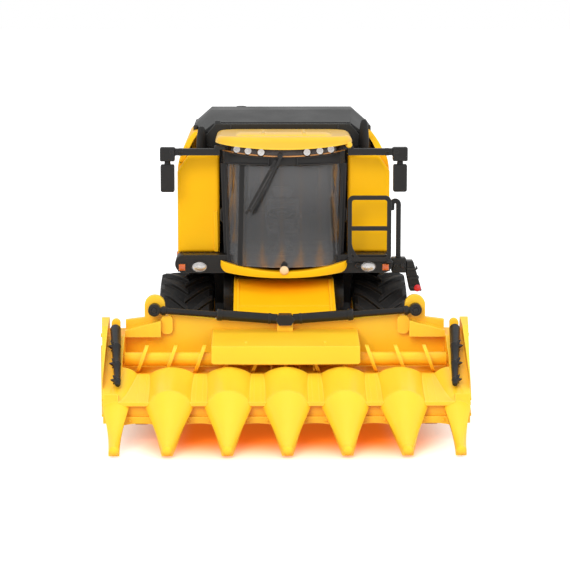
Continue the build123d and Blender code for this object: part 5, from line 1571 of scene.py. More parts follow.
@dataclass
class Body:
    """Seams, hatches, louvres and trim of the machine's body."""

    seam: float = 0.14          # half width of a panel seam
    skin: float = 0.3           # thickness of an added door
    first_door: float = 22.5    # distances from the side panel's front
    first_slats: float = 26.0
    middle: float = 33.0
    second_door: float = 45.5
    second_slats: float = 48.0
    second_door_low: float = 30.5

    def __post_init__(self) -> None:
        """Reads the body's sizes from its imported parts."""
        self.panel = Box.of("side_panel_left")
        self.face = self.panel.high.x
        self.hood = Box.of("straw_hood")
        self.deck = Box.of("engine_deck")
        self.tank = Box.of("tank_cover")
        self.rear = self.deck.high.y

    def _outline(self, side: Side, y0: float, y1: float, z0: float, z1: float,
                 corner: float, proud: float) -> list[Vector]:
        """Rounded rectangle on a side face.

        Args:
            side: Which side of the machine.
            y0: Front edge.
            y1: Rear edge.
            z0: Lower edge.
            z1: Upper edge.
            corner: Radius of its corners.
            proud: Distance outside the panel.

        Returns:
            The points in order.
        """
        x = side.value * (self.face + proud)
        spots = ((y1 - corner, z1 - corner, 0), (y0 + corner, z1 - corner, 90),
                 (y0 + corner, z0 + corner, 180), (y1 - corner, z0 + corner, 270))
        points: list[Vector] = []
        for y, z, start in spots:
            points += arc((x, y, z), corner, start, start + 90, 5, BACK, UP)
        return points

    def _door(self, shape: Shape, side: Side, y0: float, y1: float, z0: float,
              z1: float, corner: float = 1.6) -> None:
        """Adds a raised door with a chamfered edge."""
        inset = 0.18
        rings = [self._outline(side, y0, y1, z0, z1, corner, -0.1),
                 self._outline(side, y0, y1, z0, z1, corner, self.skin - inset),
                 self._outline(side, y0 + inset, y1 - inset, z0 + inset, z1 - inset,
                               corner - inset, self.skin)]
        shape.loft(rings)

    def _seam(self, shape: Shape, points: Sequence[Point], closed: bool = False) -> None:
        """Adds a dark panel gap along points on a side face."""
        w = self.seam
        shape.sweep(points, [(-w, -0.08), (w, -0.08), (w, 0.05), (-w, 0.05)], ACROSS, closed)

    def _sides(self, palette: Palette) -> None:
        """Adds doors, seams, louvres and latches to both sides."""
        front = self.panel.low.y
        for side in Side:
            sign = side.value
            out = ACROSS * sign
            paint, dark, black = Shape(), Shape(), Shape()
            mid = front + self.middle
            low_door = self.panel.low.z + 2.4
            top_door = 41.6 if side is Side.LEFT else 48.2
            self._door(paint, side, front + self.first_door, mid + 8.5, low_door, top_door)
            door_end = self.rear - (8.5 if side is Side.LEFT else 18.0)
            self._door(paint, side, front + self.second_door, door_end, self.second_door_low,
                       top_door)
            for y in (front + 18.4, mid + 10.4, self.rear - 6.0):
                low = 31.0 if y < mid else (21.8 if y < mid + 12 else 24.8)
                x = sign * (self.face + 0.02)
                top = self.shoulder_foot(side)
                self._seam(dark, [(x, y, low), (x, y, (low + top) / 2), (x, y, top)])
            x = self.face + self.skin
            UPPER_SLATS.add(black, sign, x, front + self.second_slats, 10.5, 33.4)
            LOWER_SLATS.add(black, sign, x, front + self.first_slats, 10.0, 23.4)
            for y, z in ((front + 24.6, 37.0), (front + 47.0, 31.9), (mid + 6.6, 37.0)):
                black.lathe([(-0.1, 1.1), (0.15, 1.05), (0.25, 0.85), (0.12, 0.7), (0.12, 0)],
                            (sign * x, y, z), out, 24)
                black.box((sign * (x + 0.2) - 0.2, y - 0.28, z - 0.7),
                          (sign * (x + 0.2) + 0.2, y + 0.28, z + 0.7))
            for y in (front + 27.0, mid + 4.5):
                for end in (-1, 1):
                    paint.rod((sign * (self.face + 0.28), y + end * 1.3, top_door + 0.25),
                              (sign * (self.face + 0.28), y + end * 0.2, top_door + 0.25), 0.4,
                              steps=14, edge=0.1)
            paint.ends(f"{side.word}_side_doors", palette, Slot.BODY, 0.05)
            dark.piece(f"{side.word}_side_seams", palette.extra("mesh"), Place.MACHINE.value,
                       Slot.BLACK)
            black.ends(f"{side.word}_side_louvres", palette, Slot.BLACK, 0.05)
            marks = Shape()
            for y in (front + 3.2, self.hood.high.y - 12.0):
                z = 31.6 if y < mid else 26.6
                x = self.face
                marks.loft([[(sign * (x + d), y + a * w, z + b * w * 0.5)
                             for a, b in CORNER_SIGNS]
                            for w, d in ((1.3, -0.1), (1.3, 0.25), (1.05, 0.4))])
            marks.ends(f"{side.word}_side_markers", palette, Slot.AMBER, 0.06)

    @staticmethod
    def shoulder_foot(side: Side) -> float:
        """Height where the seams of a side end, under the bay on the machine's left."""
        return 43.2 if side is Side.LEFT else 50.0

    def _front(self, palette: Palette) -> None:
        """Adds the edge strip on the right front panel."""
        panel = Box.of("front_panel_right")
        strip = Shape()
        y = panel.low.y
        x = panel.high.x
        strip.sweep([(x - 0.75, y - 0.05, 33.0), (x - 0.8, y - 0.1, 36.0),
                     (x - 0.85, y - 0.1, 40.0), (x - 0.9, y - 0.05, 42.2)],
                    [(-0.42, -0.3), (0.42, -0.3), (0.42, 0.25), (0.25, 0.4), (-0.25, 0.4),
                     (-0.42, 0.25)], BACK)
        strip.ends("front_panel_strip", palette, Slot.BODY, 0.1)

    def _tank(self, palette: Palette) -> None:
        """Adds the grain tank lid's seams, hinges and corner knobs, and rounds its posts."""
        box = self.tank
        shape = Shape()
        mid = box.middle.y
        front = box.low.y
        for x, low, high in ((-12.3, 56.6, 60.35), (12.8, 56.6, 60.35)):
            shape.sweep([(x, front - 0.02, low), (x + 0.1, front - 0.08, (low + high) / 2),
                         (x + 0.2, front - 0.02, high)],
                        bar(0.16, -0.2, 0.16, 0.12), BACK)
        shape.rod((-15.2, front + 1.2, 60.2), (-15.2, front + 1.2, 61.35), 0.85, 0.65, 18, 0.15)
        shape.rod((15.4, front + 1.8, 60.2), (15.4, front + 1.8, 61.0), 0.6, 0.5, 18, 0.12)
        for sign in (-1, 1):
            for y in (mid - 10.0, mid, mid + 9.0):
                x = sign * (box.high.x - 0.35)
                z = box.low.z + 3.6
                shape.rod((x, y - 1.2, z), (x, y + 1.2, z), 0.5, steps=14, edge=0.12)
                shape.box((x - 0.5, y - 0.5, z - 1.2), (x + 0.5, y + 0.5, z))
        shape.ends("tank_lid_trim", palette, Slot.COVER, 0.06)
        posts = Box.of("tank_posts")
        knobs = Shape()
        foot = posts.low.z
        for side, top in ((Side.LEFT, posts.high.z), (Side.RIGHT, posts.high.z - 1.6)):
            rings = []
            for share, wide, deep in ((0.0, 1.25, 0.95), (0.6, 1.25, 0.95), (0.82, 1.05, 0.9),
                                      (0.93, 0.85, 0.8), (0.98, 0.65, 0.6), (1.0, 0.35, 0.3)):
                z = foot + (top - foot) * share
                x = side.value * (posts.high.x - 0.7)
                rings.append([(x + wide * math.cos(t), posts.middle.y + deep * math.sin(t), z)
                              for t in turns(20)])
            knobs.loft(rings)
        piece = knobs.ends("tapered_tank_posts", palette, Slot.BLACK, 0.08)
        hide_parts("tank_posts")

    def _engine(self, palette: Palette) -> None:
        """Adds the engine deck's grille, fins and cap, and the exhaust's collar and mouth."""
        box = self.deck
        shape = Shape()
        top = box.high.z
        y0, y1 = box.low.y + 2.2, box.high.y - 2.2
        x0, x1 = -3.5, box.high.x - 2.6
        rim = [Vector(p) for p in ((x0, y0, top), (x1, y0, top), (x1, y1, top), (x0, y1, top))]
        shape.sweep(rim, bar(0.4, -0.2, 0.4, 0.35), UP, closed=True)
        count = 13
        for number in range(count):
            x = x0 + 0.9 + (x1 - x0 - 1.8) * number / (count - 1)
            shape.prism([(x - 0.3, y0, top - 0.1), (x + 0.25, y0, top - 0.1),
                         (x + 0.4, y0, top + 0.3), (x + 0.05, y0, top + 0.3)],
                        BACK * (y1 - y0))
        exhaust = Box.of("exhaust")
        cx, cy = exhaust.middle.x, exhaust.middle.y
        shape.lathe([(-0.1, 2.3), (0.4, 2.2), (0.6, 1.7), (1.0, 1.5), (1.0, 1.2), (-0.1, 1.2)],
                    (cx, cy, exhaust.low.z), UP, 32, closed=True)
        tip = exhaust.high.z
        shape.lathe([(-0.7, 1.36), (-0.15, 1.36), (0.15, 1.2), (0.15, 0.9), (-0.5, 0.85),
                     (-0.7, 1.0)], (cx, cy, tip), UP, 32, closed=True)
        shape.lathe([(0, 1.5), (0.5, 1.5), (0.7, 1.3), (0.7, 0.5), (1.2, 0.45), (1.25, 0.0)],
                    (cx + 0.2, cy + 5.6, top - 0.1), UP, 24)
        shape.ends("engine_grille", palette, Slot.BLACK, 0.05)

    def _screen(self, palette: Palette) -> None:
        """Adds the radiator screen's rim, spokes and woven mesh on the machine's right."""
        box = Box.of("radiator_screen")
        centre = Vector((box.low.x, box.middle.y, box.middle.z))
        radius = box.size.z / 2
        rim, mesh = Shape(), Shape()
        rim.lathe([(-0.5, radius + 0.5), (0.25, radius + 0.4), (0.4, radius), (0.35, radius - 0.7),
                   (0.0, radius - 0.9), (-0.5, radius - 0.9)], centre, -ACROSS, 64, closed=True)
        rim.lathe([(-0.3, 1.5), (0.5, 1.4), (0.75, 1.0), (0.8, 0.0)], centre, -ACROSS, 28)
        for turn in turns(6):
            ahead = Vector((0, math.cos(turn), math.sin(turn)))
            rim.rod(centre + ahead * 1.0 - ACROSS * 0.15,
                    centre + ahead * (radius - 0.6) - ACROSS * 0.15, 0.3, steps=8)
        pitch = 0.95
        reach = int(radius / pitch)
        for step in range(-reach, reach + 1):
            spot = step * pitch
            long = math.sqrt(max((radius - 0.6) ** 2 - spot ** 2, 0.0))
            if long < 0.5:
                continue
            mesh.rod(centre + Vector((-0.03, spot, -long)), centre + Vector((-0.03, spot, long)),
                     0.15, steps=6)
            mesh.rod(centre + Vector((-0.1, -long, spot)), centre + Vector((-0.1, long, spot)),
                     0.15, steps=6)
        rim.ends("radiator_rim", palette, Slot.BLACK, 0.06)
        mesh.piece("radiator_mesh", palette.extra("mesh"), Place.MACHINE.value, Slot.BLACK)

    def _hood(self, palette: Palette) -> None:
        """Adds the straw hood's seams, vents, rear door and lamps."""
        paint, dark, black, red = Shape(), Shape(), Shape(), Shape()
        y = self.hood.high.y
        # Rear door, on the steep back face.
        z0, z1 = 23.5, 31.5
        back = y + 0.02
        for sign in (-1, 1):
            paint.sweep([(sign * 13.2, back, z0), (sign * 13.2, back, z1 - 0.5)],
                        bar(0.35, -0.1, 0.22, 0.28), BACK)
        for row in range(5):
            z = 24.6 + row * 1.3
            black.prism([(-10.5, back - 0.05, z - 0.35), (-10.5, back + 0.4, z - 0.25),
                         (-10.5, back - 0.05, z + 0.4)], ACROSS * 21)
        # Ribs run down the sloping back.
        slope = [(self.hood.low.y + 6.0, 54.8), (y - 5.2, 45.5), (y, 33.0)]
        for x in (-17.0, 0.0, 17.0):
            path = [(x, slope[0][0] + 1.5, slope[0][1] - 0.75),
                    (x, slope[1][0] - 0.4, slope[1][1] + 0.2),
                    (x, slope[1][0] + 0.3, slope[1][1] - 0.9),
                    (x, slope[2][0] - 0.3, slope[2][1] + 0.9)]
            paint.sweep(path, bar(0.5, -0.3, 0.32, 0.3), BACK + UP)
        middle = Vector((0, (slope[0][0] + slope[1][0]) / 2, (slope[0][1] + slope[1][1]) / 2))
        ahead = Vector((0, slope[1][0] - slope[0][0], slope[1][1] - slope[0][1])).normalized()
        up = ACROSS.cross(ahead).normalized()
        up = up if up.z > 0 else -up
        for sign in (-1, 1):
            for row in range(5):
                at = middle + ahead * (row * 1.35 - 3.0) + ACROSS * (sign * 8.5)
                black.prism([at - ACROSS * 4.2 - ahead * 0.35 - up * 0.05,
                             at - ACROSS * 4.2 + ahead * 0.15 + up * 0.4,
                             at - ACROSS * 4.2 + ahead * 0.4 - up * 0.05], ACROSS * 8.4)
        for sign in (-1, 1):
            x = sign * (self.face + 0.02)
            y0 = self.hood.low.y
            self._seam(dark, [(x, y0 + 0.05, 24.2), (x, y0 + 0.05, 38.0), (x, y0 + 0.05, 51.8)])
            self._seam(dark, [(x, y0 + 0.4, 36.0), (x, y0 + 10.0, 36.0), (x, y - 3.6, 36.0)])
            HOOD_SLATS.add(black, sign, self.face, y0 + 4.0, 9.5, 38.6)
            black.rod((sign * (self.face - 0.1), y0 + 16.0, 26.0),
                      (sign * (self.face + 0.35), y0 + 16.0, 26.0), 0.9, 0.7, 20, 0.1)
        lamps = Box.of("tail_lights")
        for sign in (-1, 1):
            x = sign * (lamps.high.x - 1.5)
            y1 = lamps.high.y
            low, high = lamps.low.z, lamps.high.z
            rim = [(x - 1.5, y1 - 0.1, low), (x + 1.5, y1 - 0.1, low), (x + 1.5, y1 - 0.1, high),
                   (x - 1.5, y1 - 0.1, high)]
            black.tube([Vector(p) for p in rim], 0.28, 8, BACK, closed=True)
            for row in range(4):
                z = low + 0.55 + row * 1.13
                red.rod((x - 1.25, y1 - 0.05, z), (x + 1.25, y1 - 0.05, z), 0.42, steps=12,
                        edge=0.1)
        paint.ends("hood_ribs", palette, Slot.BODY, 0.06)
        dark.piece("hood_seams", palette.extra("mesh"), Place.MACHINE.value, Slot.BLACK)
        black.ends("hood_louvres", palette, Slot.BLACK, 0.05)
        red.ends("tail_lamp_lenses", palette, Slot.RED)

    def _tail(self, palette: Palette) -> None:
        """Adds the chopper's fins and knives, the hitch's pin plate and the guards' slots."""
        box = Box.of("straw_chopper")
        shape = Shape()
        rear, low = box.high.y, box.low.z
        for number in range(9):
            x = box.low.x + 1.6 + (box.size.x - 3.2) * number / 8
            shape.plate(x, 0.25, [(rear - 0.3, low + 0.2), (rear + 2.2, low - 0.6),
                                  (rear + 2.6, low + 0.6), (rear - 0.3, low + 3.2)])
        shape.rod((box.low.x + 0.4, rear + 1.1, low + 0.9),
                  (box.high.x - 0.4, rear + 1.1, low + 0.9), 0.35, steps=12)
        for sign in (-1, 1):
            x = sign * box.high.x
            hub = Vector((x, box.middle.y - 1.0, low + 6.0))
            out = ACROSS * sign
            shape.lathe([(-0.2, 3.0), (0.35, 2.9), (0.5, 2.6), (0.35, 2.2), (0.3, 1.2),
                         (0.6, 1.0), (0.65, 0)], hub, out, 36)
            for angle in turns(5):
                spot = hub + Vector((sign * 0.3, math.cos(angle) * 1.7, math.sin(angle) * 1.7))
                shape.bolt(spot, out, 0.32, 0.25)
        hitch = Box.of("tow_hitch")
        hole = (0.0, hitch.high.y - 2.0, hitch.high.z - 0.05)
        shape.lathe([(0, 1.9), (0.3, 1.85), (0.4, 1.7), (0.4, 1.2), (0, 1.1)], hole, UP, 32,
                    closed=True)
        for sign in (-1, 1):
            start, top = hitch.low.y - 0.1, hitch.high.z
            shape.plate(sign * 1.9, 0.25, [(start, top - 0.1), (hitch.low.y + 2.6, top - 0.1),
                                           (start, top + 1.9)])
        for side in Side:
            guard = Box.of(f"lower_guard_{side.word}")
            face = guard.high.x if side is Side.LEFT else guard.low.x
            GUARD_SLATS.add(shape, side.value, abs(face), guard.middle.y - 6.5, 13.0,
                            guard.low.z + 1.2)
            for y in (guard.low.y + 4.6, guard.high.y - 4.6):
                shape.bolt((face, y, guard.low.z + 1.0), ACROSS * side.value, 0.55, 0.35)
        shape.ends("tail_fittings", palette, Slot.BLACK, 0.05)

    def build(self, palette: Palette) -> None:
        """Builds the body's pieces."""
        self._sides(palette)
        self._front(palette)
        self._tank(palette)
        self._engine(palette)
        self._screen(palette)
        self._hood(palette)
        self._tail(palette)


# ---- unloading auger ----------------------------------------------------------------


@dataclass
class Unloader:
    """Rings, flange and boot of the unloading tube in its bay."""

    ring: float = 0.18          # how far the rings stand out of the tube

    def build(self, palette: Palette) -> None:
        """Builds the pieces that turn with the tube."""
        box = Box.of("unloading_tube")
        spout = Box.of("unloading_spout")
        x, z = box.middle.x, box.middle.z
        radius = box.size.x / 2 - 0.1
        paint, black = Shape(), Shape()
        start = box.low.y + 4.9
        for share in (0.0, 0.33, 0.66, 0.985):
            y = start + (box.high.y - start - 0.8) * share
            paint.lathe([(-0.55, radius - 0.1), (-0.4, radius + self.ring),
                         (0.4, radius + self.ring), (0.55, radius - 0.1)], (x, y, z), BACK, 48,
                        closed=True)
        seam = [(x + radius + 0.02, start + 1.0, z - 0.6),
                (x + radius + 0.02, box.high.y - 2.0, z - 0.6)]
        paint.sweep(seam, bar(0.22, -0.2, 0.15, 0.1), ACROSS)
        centre = (x, box.low.y + 2.4, z)
        paint.lathe([(-0.1, 1.9), (2.42, 1.9), (2.62, 1.6), (2.62, 0.0)], centre, UP, 40)
        for angle in turns(6):
            spot = Vector(centre) + Vector((math.cos(angle) * 1.3, math.sin(angle) * 1.3, 2.6))
            black.bolt(spot, UP, 0.3, 0.22)
        flange = (x, start - 0.2, z)
        black.lathe([(-0.3, radius - 0.1), (-0.3, radius + 0.2), (0.3, radius + 0.2),
                     (0.3, radius - 0.1)], flange, BACK, 48, closed=True)
        end = spout.low.y
        for number in range(3):
            y = end + 0.5 + number * 0.95
            share = number / 3
            middle = (x, y, z - 0.3 * share)
            wide = radius + 0.02 - 0.3 * share
            black.lathe([(-0.3, wide), (0.0, wide + 0.2), (0.3, wide)], middle, BACK, 40,
                        closed=True)
        paint.ends("unloading_tube_rings", palette, Slot.TUBE, 0.05, place=Place.UNLOADER)
        black.ends("unloading_tube_boot", palette, Slot.BLACK, 0.05, place=Place.UNLOADER)


# ---- header -------------------------------------------------------------------------


@dataclass
class EndAuger:
    """A slim standing auger with barbed flights on an end divider."""

    side: Side
    foot_radius: float = 0.6
    top_radius: float = 1.15
    barbs: tuple[float, ...] = (0.08, 0.36, 0.66)    # shares of the length from the foot
    barb_reach: float = 0.8

    def add(self, shape: Shape) -> None:
        """Adds the auger to a shape.

        Args:
            shape: The shape that holds both augers.
        """
        box = Box.of("end_augers")
        sign = self.side.value
        lean = 1.45 * 0.5
        top = Vector((sign * (box.high.x - 1.35), box.high.y - 1.1, box.high.z - lean - 0.3))
        foot = Vector((sign * (box.high.x - 2.94), box.low.y + 0.45, box.low.z + 0.6))
        axis = (top - foot).normalized()
        length = (top - foot).length
        out = (ACROSS * sign - axis * (ACROSS * sign).dot(axis)).normalized()
        over = axis.cross(out)
        core = [(0.0, 0.25), (0.15, self.foot_radius - 0.1), (0.4, self.foot_radius)]
        for share in self.barbs:
            radius = self.radius(share)
            core += [(share * length - 0.2, radius), (share * length, radius + 0.1),
                     (share * length + 0.25, radius + 0.02)]
        core += [(length - 0.5, self.top_radius), (length - 0.1, self.top_radius - 0.15),
                 (length, self.top_radius - 0.45)]
        shape.lathe(core, foot, axis, 16)
        for share in self.barbs:
            radius = self.radius(share)
            here = foot + axis * (share * length)
            for turn_deg in (-50, 0, 50):
                turn = math.radians(turn_deg)
                spoke = out * math.cos(turn) + over * math.sin(turn)
                beside = axis.cross(spoke) * 0.4
                root = here + spoke * (radius - 0.25)
                tip = here + spoke * (radius + self.barb_reach) + axis * 0.5
                shape.loft([[root - axis * 0.65 - beside, root - axis * 0.65 + beside,
                             root + axis * 0.45 + beside, root + axis * 0.45 - beside],
                            [tip - axis * 0.12 - beside * 0.25, tip - axis * 0.12 + beside * 0.25,
                             tip + beside * 0.25, tip - beside * 0.25]])
            shape.bolt(here - BACK * (radius - 0.1) + axis * 0.3, -BACK, 0.22, 0.2)

    def radius(self, share: float) -> float:
        """Radius of the core at a share of its length."""
        return self.foot_radius + (self.top_radius - self.foot_radius) * share


@dataclass
class Header:
    """What the maize header and the feeder house carry."""

    row_pitch: float = 12.0
    rows: int = 6
    deck_front_height: float = 8.76
    deck_rear_height: float = 12.0
    plate_half: float = 37.6    # from the middle to an outer plate's front
    plate_flare: float = 2.2    # how far the plate spreads towards its rear
    shoulder: float = 14.0      # from the divider's nose to where the plate starts to spread

    def __post_init__(self) -> None:
        """Reads the header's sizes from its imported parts."""
        self.frame = Box.of("header_frame")
        self.decks = Box.of("row_decks")
        self.cover = Box.of("auger_cover")
        self.feeder = Box.of("feeder_house")
        self.ledge_y = self.decks.low.y
        self.rear_y = self.decks.high.y
        self.half = self.decks.size.x / 2
        self.wall_y = self.frame.high.y

    def _deck_height(self, y: float) -> float:
        """Height of the decks' top at a distance along the header."""
        share = (y - self.ledge_y) / (self.rear_y - self.ledge_y)
        return self.deck_front_height + (self.deck_rear_height - self.deck_front_height) * share

    def _rows(self, palette: Palette) -> None:
        """Adds the low strips beside each row's gap and the ledges' lugs."""
        strips = Shape()
        front, rear = self.ledge_y + 0.5, self.rear_y - 0.35
        for row in range(self.rows):
            x = (row + 0.5 - self.rows / 2) * self.row_pitch
            low = Vector((x, front, self._deck_height(front)))
            high = Vector((x, rear, self._deck_height(rear)))
            for sign in (-1, 1):
                shift = ACROSS * sign * 0.7
                strips.sweep([low + shift, high + shift],
                             bar(0.22, -0.2, 0.12, 0.03), UP)
            # A small lug hangs under the lip between two snouts.
            for sign in (-1, 1):
                strips.rod((x + sign * 2.1, self.ledge_y + 1.0, 5.0),
                           (x + sign * 2.1, self.ledge_y + 0.2, 4.9), 0.5, 0.38, 12, 0.1)
        strips.ends("deck_strips", palette, Slot.HEADER, 0.08, place=Place.HEADER)

    def _wall(self, palette: Palette) -> None:
        """Adds the rear wall's ribs, the post under the knuckle and the cover's screws."""
        shape = Shape()
        low, top = self.frame.low.z + 2.6, 19.6
        for x in (-32.0, -24.0, -16.4, 16.4, 24.0, 32.0):
            shape.plate(x, 0.4, [(self.wall_y - 0.1, low), (self.wall_y + 1.5, low + 0.6),
                                 (self.wall_y + 1.2, 14.0), (self.wall_y - 0.1, top)])
        shape.box((-self.half + 0.5, self.wall_y - 0.1, 13.0),
                  (-12.2, self.wall_y + 1.0, 13.9))
        shape.box((12.2, self.wall_y - 0.1, 13.0), (self.half - 0.5, self.wall_y + 1.0, 13.9))
        half = self.feeder.size.x / 2
        for sign in (-1, 1):
            x = sign * (half + 0.55)
            shape.box((x - 0.5, self.wall_y - 0.1, 10.6), (x + 0.5, self.wall_y + 0.9, 19.9))
            for z in (12.2, 15.4, 18.6):
                shape.bolt((x, self.wall_y + 0.85, z), BACK, 0.42, 0.35)
        shape.box((-half - 1.0, self.wall_y - 0.1, 10.0), (half + 1.0, self.wall_y + 0.9, 10.9))
        knuckle = Box.of("fold_cylinders")
        post_front = knuckle.low.y + 0.9
        shape.box((-1.7, post_front, 18.6), (1.7, self.wall_y - 0.4, knuckle.low.z + 0.6))
        front = self.cover.low.y
        for x in (-8.4, 8.4):
            shape.lathe([(-0.1, 0.45), (0.14, 0.42), (0.2, 0.2), (0.12, 0.1)],
                        (x, front + 3.5, 18.05), Vector((0, -0.1, 1)), 16)
        lip = [(-self.cover.high.x + 0.4, front + 0.35, 14.2), (0, front + 0.3, 14.15),
               (self.cover.high.x - 0.4, front + 0.35, 14.2)]
        shape.sweep(lip, bar(0.25, -0.3, 0.25, 0.3), UP)
        for sign in (-1, 1):
            x = sign * (self.cover.high.x - 0.25)
            shape.plate(x, 0.3, [(front + 0.6, 14.1), (front + 1.3, 17.5),
                                 (self.wall_y - 1.8, 19.1), (self.wall_y - 1.8, 18.0),
                                 (front + 1.8, 16.2), (front + 1.2, 14.1)])
        shape.ends("header_wall_ribs", palette, Slot.HEADER, 0.1, place=Place.HEADER)

    def _dividers(self, palette: Palette) -> None:
        """Adds ribs and bolts on the outside of the end dividers."""
        paint = Shape()
        for side in Side:
            sign = side.value
            box = Box.of(f"end_divider_{side.word}")
            out = ACROSS * sign

            def face(y: float) -> float:
                """Distance of the outer plate's face from the middle."""
                share = (y - (box.low.y + self.shoulder)) / (box.size.y - self.shoulder)
                return self.plate_half + self.plate_flare * max(0.0, min(1.0, share))

            y0, y1 = box.low.y + 16.0, box.high.y - 1.5
            for z0, z1 in ((5.6, 6.0), (8.8, 15.4)):
                path = [(sign * face(y0 + (y1 - y0) * s / 6), y0 + (y1 - y0) * s / 6,
                         z0 + (z1 - z0) * s / 6) for s in range(7)]
                paint.sweep(path, bar(0.4, -0.3, 0.25, 0.28), out)
            for y, z in ((y0 + 3.0, 7.4), (y0 + 14.0, 7.6), (y1 - 2.0, 8.0), (y1 - 2.0, 18.2),
                         (y1 - 8.0, 11.0)):
                paint.bolt((sign * face(y), y, z), out, 0.5, 0.22)
        paint.ends("divider_ribs", palette, Slot.HEADER, 0.08, place=Place.HEADER)

    def _folding(self, palette: Palette) -> None:
        """Adds the gland nuts, pins and knuckle hooks of the two folding cylinders."""
        box = Box.of("fold_cylinders")
        shape = Shape()
        rod_y = box.low.y + 1.3
        eye = Vector((box.high.x - 1.33, rod_y, box.high.z - 1.33))
        root = Vector((1.7, rod_y, 21.6))
        line = eye - root
        ahead = line.normalized()
        gland = root + line * 0.48
        shape.lathe([(-0.9, 1.18), (-0.7, 1.28), (0.15, 1.28), (0.35, 1.05), (0.35, 0.6)],
                    gland, ahead, 16)
        shape.lathe([(0.1, 1.05), (0.2, 1.2), (0.7, 1.2), (0.8, 1.05)], root + ahead * 1.2, ahead,
                    20)
        shape.lathe([(-0.6, 0.95), (0.0, 1.05), (0.5, 0.8)], eye - ahead * 1.9, ahead, 16)
        front = eye - BACK * 0.67
        shape.lathe([(-0.2, 1.3), (0.1, 1.28), (0.22, 1.1), (0.22, 0.72), (0.1, 0.66),
                     (0.1, 0.5), (0.4, 0.45), (0.45, 0.0)], front, -BACK, 28)
        shape.mirrored()
        shape.ends("fold_cylinder_fittings", palette, Slot.BLACK, 0.05, place=Place.HEADER)

    def _feeder(self, palette: Palette) -> None:
        """Adds the feeder house's ribs, crease, side covers and the hatch under its floor."""
        box = self.feeder
        half = box.size.x / 2
        front = Vector((0, box.low.y + 0.6, 21.9 + 0.14))
        rear = Vector((0, box.low.y + 20.0, box.high.z))
        ahead = (rear - front).normalized()
        normal = ACROSS.cross(ahead).normalized()
        normal = normal if normal.z > 0 else -normal
        shape = Shape()
        section = bar(0.32, -0.2, 0.22, 0.22)
        length = (rear - front).length
        for sign in (-1, 1):
            shift = ACROSS * sign * (half - 1.0)
            shape.sweep([front + shift, front + shift + ahead * (length - 0.4)], section, normal)
        crease = front + ahead * length * 0.22
        left = crease - ACROSS * (half - 1.2)
        shape.sweep([left, left + ACROSS * (2 * half - 2.4)], bar(0.25, -0.2, 0.12, 0.16),
                    normal)
        shape.ends("feeder_ribs", palette, Slot.BODY, 0.06, place=Place.HEADER)
        sides = Shape()
        for sign in (-1, 1):
            out = ACROSS * sign
            for y, z, radius in ((box.low.y + 5.0, 16.9, 2.1), (box.low.y + 14.0, 19.6, 1.4)):
                sides.lathe([(-0.2, radius), (0.12, radius - 0.05), (0.12, radius * 0.55),
                             (0.05, 0)], (sign * half, y, z), out, 28)
        # A hatch lies under the floor.
        y0, y1 = box.low.y + 6.0, box.low.y + 20.0
        foot = Vector((0, y0, 12.9))
        far = Vector((0, y1, 16.1))
        line = (far - foot).normalized()
        under = line.cross(ACROSS).normalized()
        under = under if under.z < 0 else -under
        sides.sweep([foot, far], [(-half + 2.5, -0.1), (half - 2.5, -0.1), (half - 2.8, 0.3),
                                  (-half + 2.8, 0.3)], under)
        sides.ends("feeder_covers", palette, Slot.BLACK, 0.08, place=Place.HEADER)

    def _underside(self, palette: Palette) -> None:
        """Adds skids and stiffening ribs under the header."""
        shape = Shape()
        y0, y1 = self.decks.low.y + 4.0, self.wall_y - 2.0
        for x in (-30.0, -12.0, 12.0, 30.0):
            path = [(x, y0, 3.9), (x, y0 + 2.0, 3.25), (x, y1 - 4.0, 3.3), (x, y1, 5.2)]
            shape.sweep(path, bar(1.3, -0.3, 1.3, 0.3), UP)
            shape.box((x - 0.35, y0 + 2.5, 3.3), (x + 0.35, y1 - 4.0, 5.0))
        shape.box((-self.half + 1.0, self.frame.low.y + 3.0, 3.9),
                  (self.half - 1.0, self.frame.low.y + 3.8, 5.0))
        shape.ends("header_skids", palette, Slot.HEADER, 0.08, place=Place.HEADER)

    def _cross_auger(self, palette: Palette) -> None:
        """Adds the retracting fingers that turn with the cross auger."""
        box = Box.of("cross_auger")
        middle = box.middle
        shape = Shape()
        for number in range(7):
            x = -9.0 + 3.0 * number
            turn = math.radians(115 * number + 20)
            spoke = Vector((0, math.cos(turn), math.sin(turn)))
            spot = middle + ACROSS * x
            shape.rod(spot + spoke * 1.2, spot + spoke * 2.75, 0.3, 0.2, 8, 0.04)
            shape.rod(spot - spoke * 1.2, spot - spoke * 2.75, 0.3, 0.2, 8, 0.04)
        shape.ends("cross_auger_fingers", palette, Slot.HEADER, 0.04, place=Place.CROSS_AUGER)

    def build(self, palette: Palette) -> None:
        """Builds the header's pieces."""
        self._rows(palette)
        self._wall(palette)
        self._dividers(palette)
        self._folding(palette)
        self._feeder(palette)
        self._underside(palette)
        self._cross_auger(palette)
        augers = Shape()
        for side in Side:
            EndAuger(side).add(augers)
        piece = augers.ends("barbed_end_augers", palette, Slot.BLACK, 0.04, place=Place.HEADER)
        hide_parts("end_augers")


